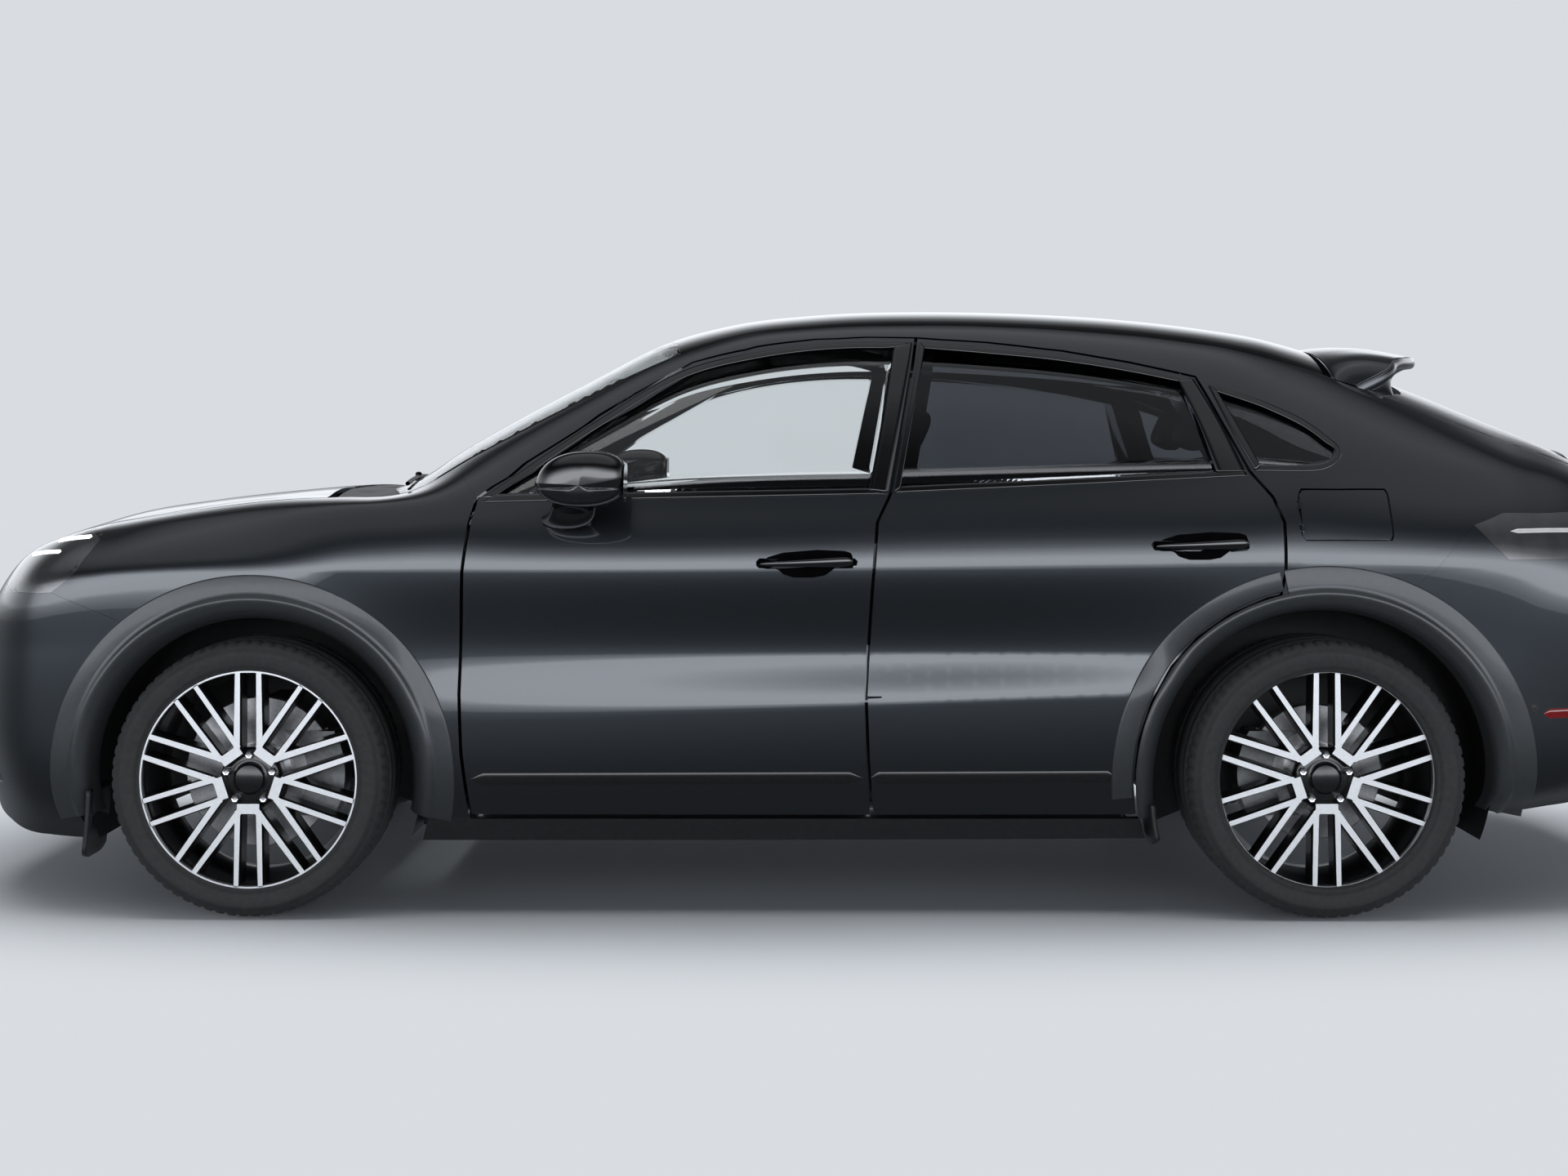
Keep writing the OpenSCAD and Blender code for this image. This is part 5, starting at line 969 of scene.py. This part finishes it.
for s, side in SIDES:
    seat_piece("seat_front_" + s, seat_pads(.018, side * SEAT_Y, .52, .25), "front_seats")
rear_places = [p for k in (-1, 0, 1) for p in seat_pads(.930, k * BENCH_STEP, BENCH_STEP, .23)]
seat_piece("seat_bench_rear", rear_places, "rear_seat")
print("seats", 3)

# %% [markdown]
# The steering wheel is a ring with a padded hub and three arms, tilted on its column. The ring is a circle swept
# round a circle; the hub is a dome; each arm is a tapering oval.

# %% Steering wheel
TILT = np.radians(66)
HUB = np.array([station(1.335), -SEAT_Y, .575 * HEIGHT])


def on_column(p):
    """Turns points of the wheel's own plane to the column's direction and place."""
    c, s = np.cos(TILT), np.sin(TILT)
    return xyz(HUB[0] + p[..., 0] * c + p[..., 2] * s, HUB[1] + p[..., 1], HUB[2] - p[..., 0] * s + p[..., 2] * c)


t, q = around(96)[:, None], around(20)[None]
reach = .180 + .0145 * np.cos(q)
ring = xyz(reach * np.cos(t), reach * np.sin(t), .017 * np.sin(q))
dome = turned([(.001, .022), (.03, .021), (.055, .017), (.066, .008), (.068, -.006), (.062, -.022)])
w, h = np.linspace(.05, .176, 16)[:, None], around(16)[None]
across = (.015 + .012 * ((w - .11) / .06) ** 2) * np.cos(h)
arms = [xyz(w * np.cos(a) - across * np.sin(a), w * np.sin(a) + across * np.cos(a), .006 * np.sin(h))
        for a in np.radians((0, 90, 180))]
column = turned([(.030, -.02), (.026, -.05), (.0205, -.06), (.0205, -.19)], 32)
v, f = joined([(on_column(ring), True, True), (on_column(dome), True, False), (on_column(column), True, False)]
              + [(on_column(p), False, True) for p in arms])
mesh_piece("steering_ring", v, f, [LEATHER], "body", "satin_black", replaces=("steering_wheel",))
print("steering wheel", len(v))

# %% [markdown]
# Wipers rest at the foot of the windshield: a slim blade on the glass and an arm with a cap at its pivot.

# %% Wipers
def top_place(x, y, lift):
    """Points above the form at places of the plan."""
    return xyz(x, y, roof_z(x, y) + lift)


for k, (y0, y1, x0, x1) in enumerate(((-.56, .06, -1.205, -1.245), (.02, .52, -1.228, -1.215))):
    u, t = np.linspace(0, 1, 40), around(10)[None]
    line = top_place(x0 + (x1 - x0) * u, y0 + (y1 - y0) * u, .010)
    blade = line[:, None] + xyz(.007 * np.cos(t), 0, .006 * np.sin(t))
    base = top_place(np.array([x0 - .055]), np.array([y0 * .2 + y1 * .8]), .006)[0]
    mid = line[18] + [0, 0, .008]
    arm = base + (mid - base) * u[:, None]
    arm[:, 2] += .010 * np.sin(np.pi * u)
    rod = arm[:, None] + xyz(.010 * np.cos(t), 0, .006 * np.sin(t))
    v, f = joined([(blade, False, True), (rod, False, True)])
    mesh_piece(f"wiper_{k}", v, f, [SATIN], "body", "satin_black")
print("wipers", 2)

# %% [markdown]
# The solids that keep their own shape get a finish: metals for the running gear, satin black for liners, grille and
# underbody. The finish goes into the node's material slots and the mesh stays as it is.

# %% Finishes of the plain solids
FINISH = dict(floor_pan=SATIN, wheel_liners=SATIN, grille=SATIN, crash_beams=STEEL, hinge_pins=STEEL,
              exhaust_tips=CHROME, engine_block=CAST, front_axle=CAST, rear_axle=CALLIPER, knuckle_left=CALLIPER,
              knuckle_right=CALLIPER, dashboard=LEATHER)
for node, mat in FINISH.items():
    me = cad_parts[node].data
    me.materials.clear()
    me.materials.append(mat)
print("finished", len(FINISH), "others are replaced:", len(set(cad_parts) - set(FINISH)))

# %% [markdown]
# The studio is a pale floor that runs into a pale surround. The surround darkens overhead, which gives the dark upper
# body its depth. One wide soft light hangs above, and reflections see a soft wall of light on the left of the car.

# %% Studio and camera
SURROUND, DIM_FLOOR = (.694, .723, .761, 1), (.13, .142, .158, 1)
COOL = np.array([.912, .95, 1])
FLOOR_HALF = 60


def area(name, at, aim, size, power):
    """A soft rectangular light at one point, turned to another."""
    li = bpy.data.lights.new(name, "AREA")
    li.shape, li.size, li.size_y, li.energy = "RECTANGLE", size[0], size[1], power
    ob = bpy.data.objects.new(name, li)
    bpy.context.scene.collection.objects.link(ob)
    ob.location = at
    ob.rotation_mode = "QUATERNION"
    ob.rotation_quaternion = (Vector(aim) - Vector(at)).to_track_quat("-Z", "Y")
    ob.visible_camera = False
    return ob


def seen_in_gloss(nt):
    """1 for rays that left a glossy surface, 0 for all others; rays through glass don't count."""
    path, less = new_nodes(nt, "LightPath", "Math")
    less.operation, less.use_clamp = "SUBTRACT", True
    wire(nt, (path.outputs["Is Glossy Ray"], less.inputs[0]), (path.outputs["Is Transmission Ray"], less.inputs[1]))
    return less.outputs["Value"]


def studio_floor():
    """A flat floor, lit near the car and blending to the surround's own tone further out; dim in reflections."""
    me = bpy.data.meshes.new("studio_floor")
    corners = [(x * FLOOR_HALF, y * FLOOR_HALF, 0) for x, y in ((-1, -1), (1, -1), (1, 1), (-1, 1))]
    me.from_pydata(corners, [], [(0, 1, 2, 3)])
    ob = bpy.data.objects.new("studio_floor", me)
    bpy.context.scene.collection.objects.link(ob)
    mat = finish("floor", (.70, .74, .79), (.72, .76, .81), 2, .7)
    nt = mat.node_tree
    co, scale, length, span, glow, dim, mix, last = new_nodes(
        nt, "TexCoord", "Mapping", "VectorMath", "MapRange", "Emission", "Emission", "MixShader", "MixShader")
    scale.inputs["Scale"].default_value = (.45, 1, 1)
    length.operation = "LENGTH"
    span.interpolation_type = "SMOOTHERSTEP"
    span.inputs["From Min"].default_value, span.inputs["From Max"].default_value = 1.0, 2.0
    glow.inputs["Color"].default_value = SURROUND
    dim.inputs["Color"].default_value = DIM_FLOOR
    wire(nt, (co.outputs["Object"], scale.inputs["Vector"]), (scale.outputs["Vector"], length.inputs[0]),
         (length.outputs["Value"], span.inputs["Value"]), (span.outputs["Result"], mix.inputs["Fac"]),
         (nt.nodes["Principled BSDF"].outputs["BSDF"], mix.inputs[1]), (glow.outputs["Emission"], mix.inputs[2]),
         (seen_in_gloss(nt), last.inputs["Fac"]), (mix.outputs["Shader"], last.inputs[1]),
         (dim.outputs["Emission"], last.inputs[2]),
         (last.outputs["Shader"], nt.nodes["Material Output"].inputs["Surface"]))
    me.materials.append(mat)


def tone_ramp(nt, stops):
    """A ramp of cool greys over the height of a direction, from rows of height and brightness."""
    ramp = nt.nodes.new("ShaderNodeValToRGB")
    e = ramp.color_ramp.elements
    e[0].position, e[1].position = stops[0][0], stops[-1][0]
    for k, (at, tone) in enumerate(stops):
        item = e[0] if k == 0 else e[len(e) - 1] if k == len(stops) - 1 else e.new(at)
        item.color = (*(tone * COOL), 1)
    return ramp


def studio_surround():
    """Pale near the horizon and dim overhead; reflections see a soft wall of light on the left and a dim ceiling."""
    world = bpy.data.worlds.new("studio")
    bpy.context.scene.world = world
    world.use_nodes = True
    nt = world.node_tree
    co, split, wide, side, wall, roof, both, mix = new_nodes(
        nt, "TexCoord", "SeparateXYZ", "Math", "MapRange", "Background", "Background", "AddShader", "MixShader")
    plain = nt.nodes["Background"]
    pale = tone_ramp(nt, ((.24, .76), (.55, .04)))
    tall = tone_ramp(nt, ((0, .22), (.05, .5), (.08, 1), (.24, 1), (.45, .2), (.56, .03), (.7, 0)))
    high = tone_ramp(nt, ((.66, 0), (.84, 1)))
    wide.operation = "MULTIPLY"
    wide.inputs[1].default_value = -1
    side.interpolation_type = "SMOOTHSTEP"
    for key, val in (("From Min", .2), ("From Max", .75), ("To Min", 1.25), ("To Max", 5.2)):
        side.inputs[key].default_value = val
    roof.inputs["Strength"].default_value = .5
    for ramp, shade in ((pale, plain), (tall, wall), (high, roof)):
        wire(nt, (split.outputs["Z"], ramp.inputs["Fac"]), (ramp.outputs["Color"], shade.inputs["Color"]))
    wire(nt, (co.outputs["Generated"], split.inputs["Vector"]), (split.outputs["Y"], wide.inputs[0]),
         (wide.outputs["Value"], side.inputs["Value"]), (side.outputs["Result"], wall.inputs["Strength"]),
         (wall.outputs["Background"], both.inputs[0]), (roof.outputs["Background"], both.inputs[1]),
         (seen_in_gloss(nt), mix.inputs["Fac"]), (plain.outputs["Background"], mix.inputs[1]),
         (both.outputs["Shader"], mix.inputs[2]),
         (mix.outputs["Shader"], nt.nodes["World Output"].inputs["Surface"]))


studio_floor()
studio_surround()
overhead = area("overhead", at=(0, .7, 5.6), aim=(0, .1, 0), size=(8, 6), power=470)
overhead.visible_glossy = False

scene = bpy.context.scene
scene.view_settings.view_transform = "Standard"
cam = bpy.data.cameras.new("camera")
cam.lens, cam.sensor_width, cam.shift_y = 47.98, 36, -0.094
cam.clip_end = 200
cam_ob = bpy.data.objects.new("camera", cam)
scene.collection.objects.link(cam_ob)
cam_ob.location = (-0.122, -6.575, 1.284)
cam_ob.rotation_euler = (np.pi / 2, 0, 0)
scene.camera = cam_ob
scene.render.resolution_x, scene.render.resolution_y = 1920, 1440
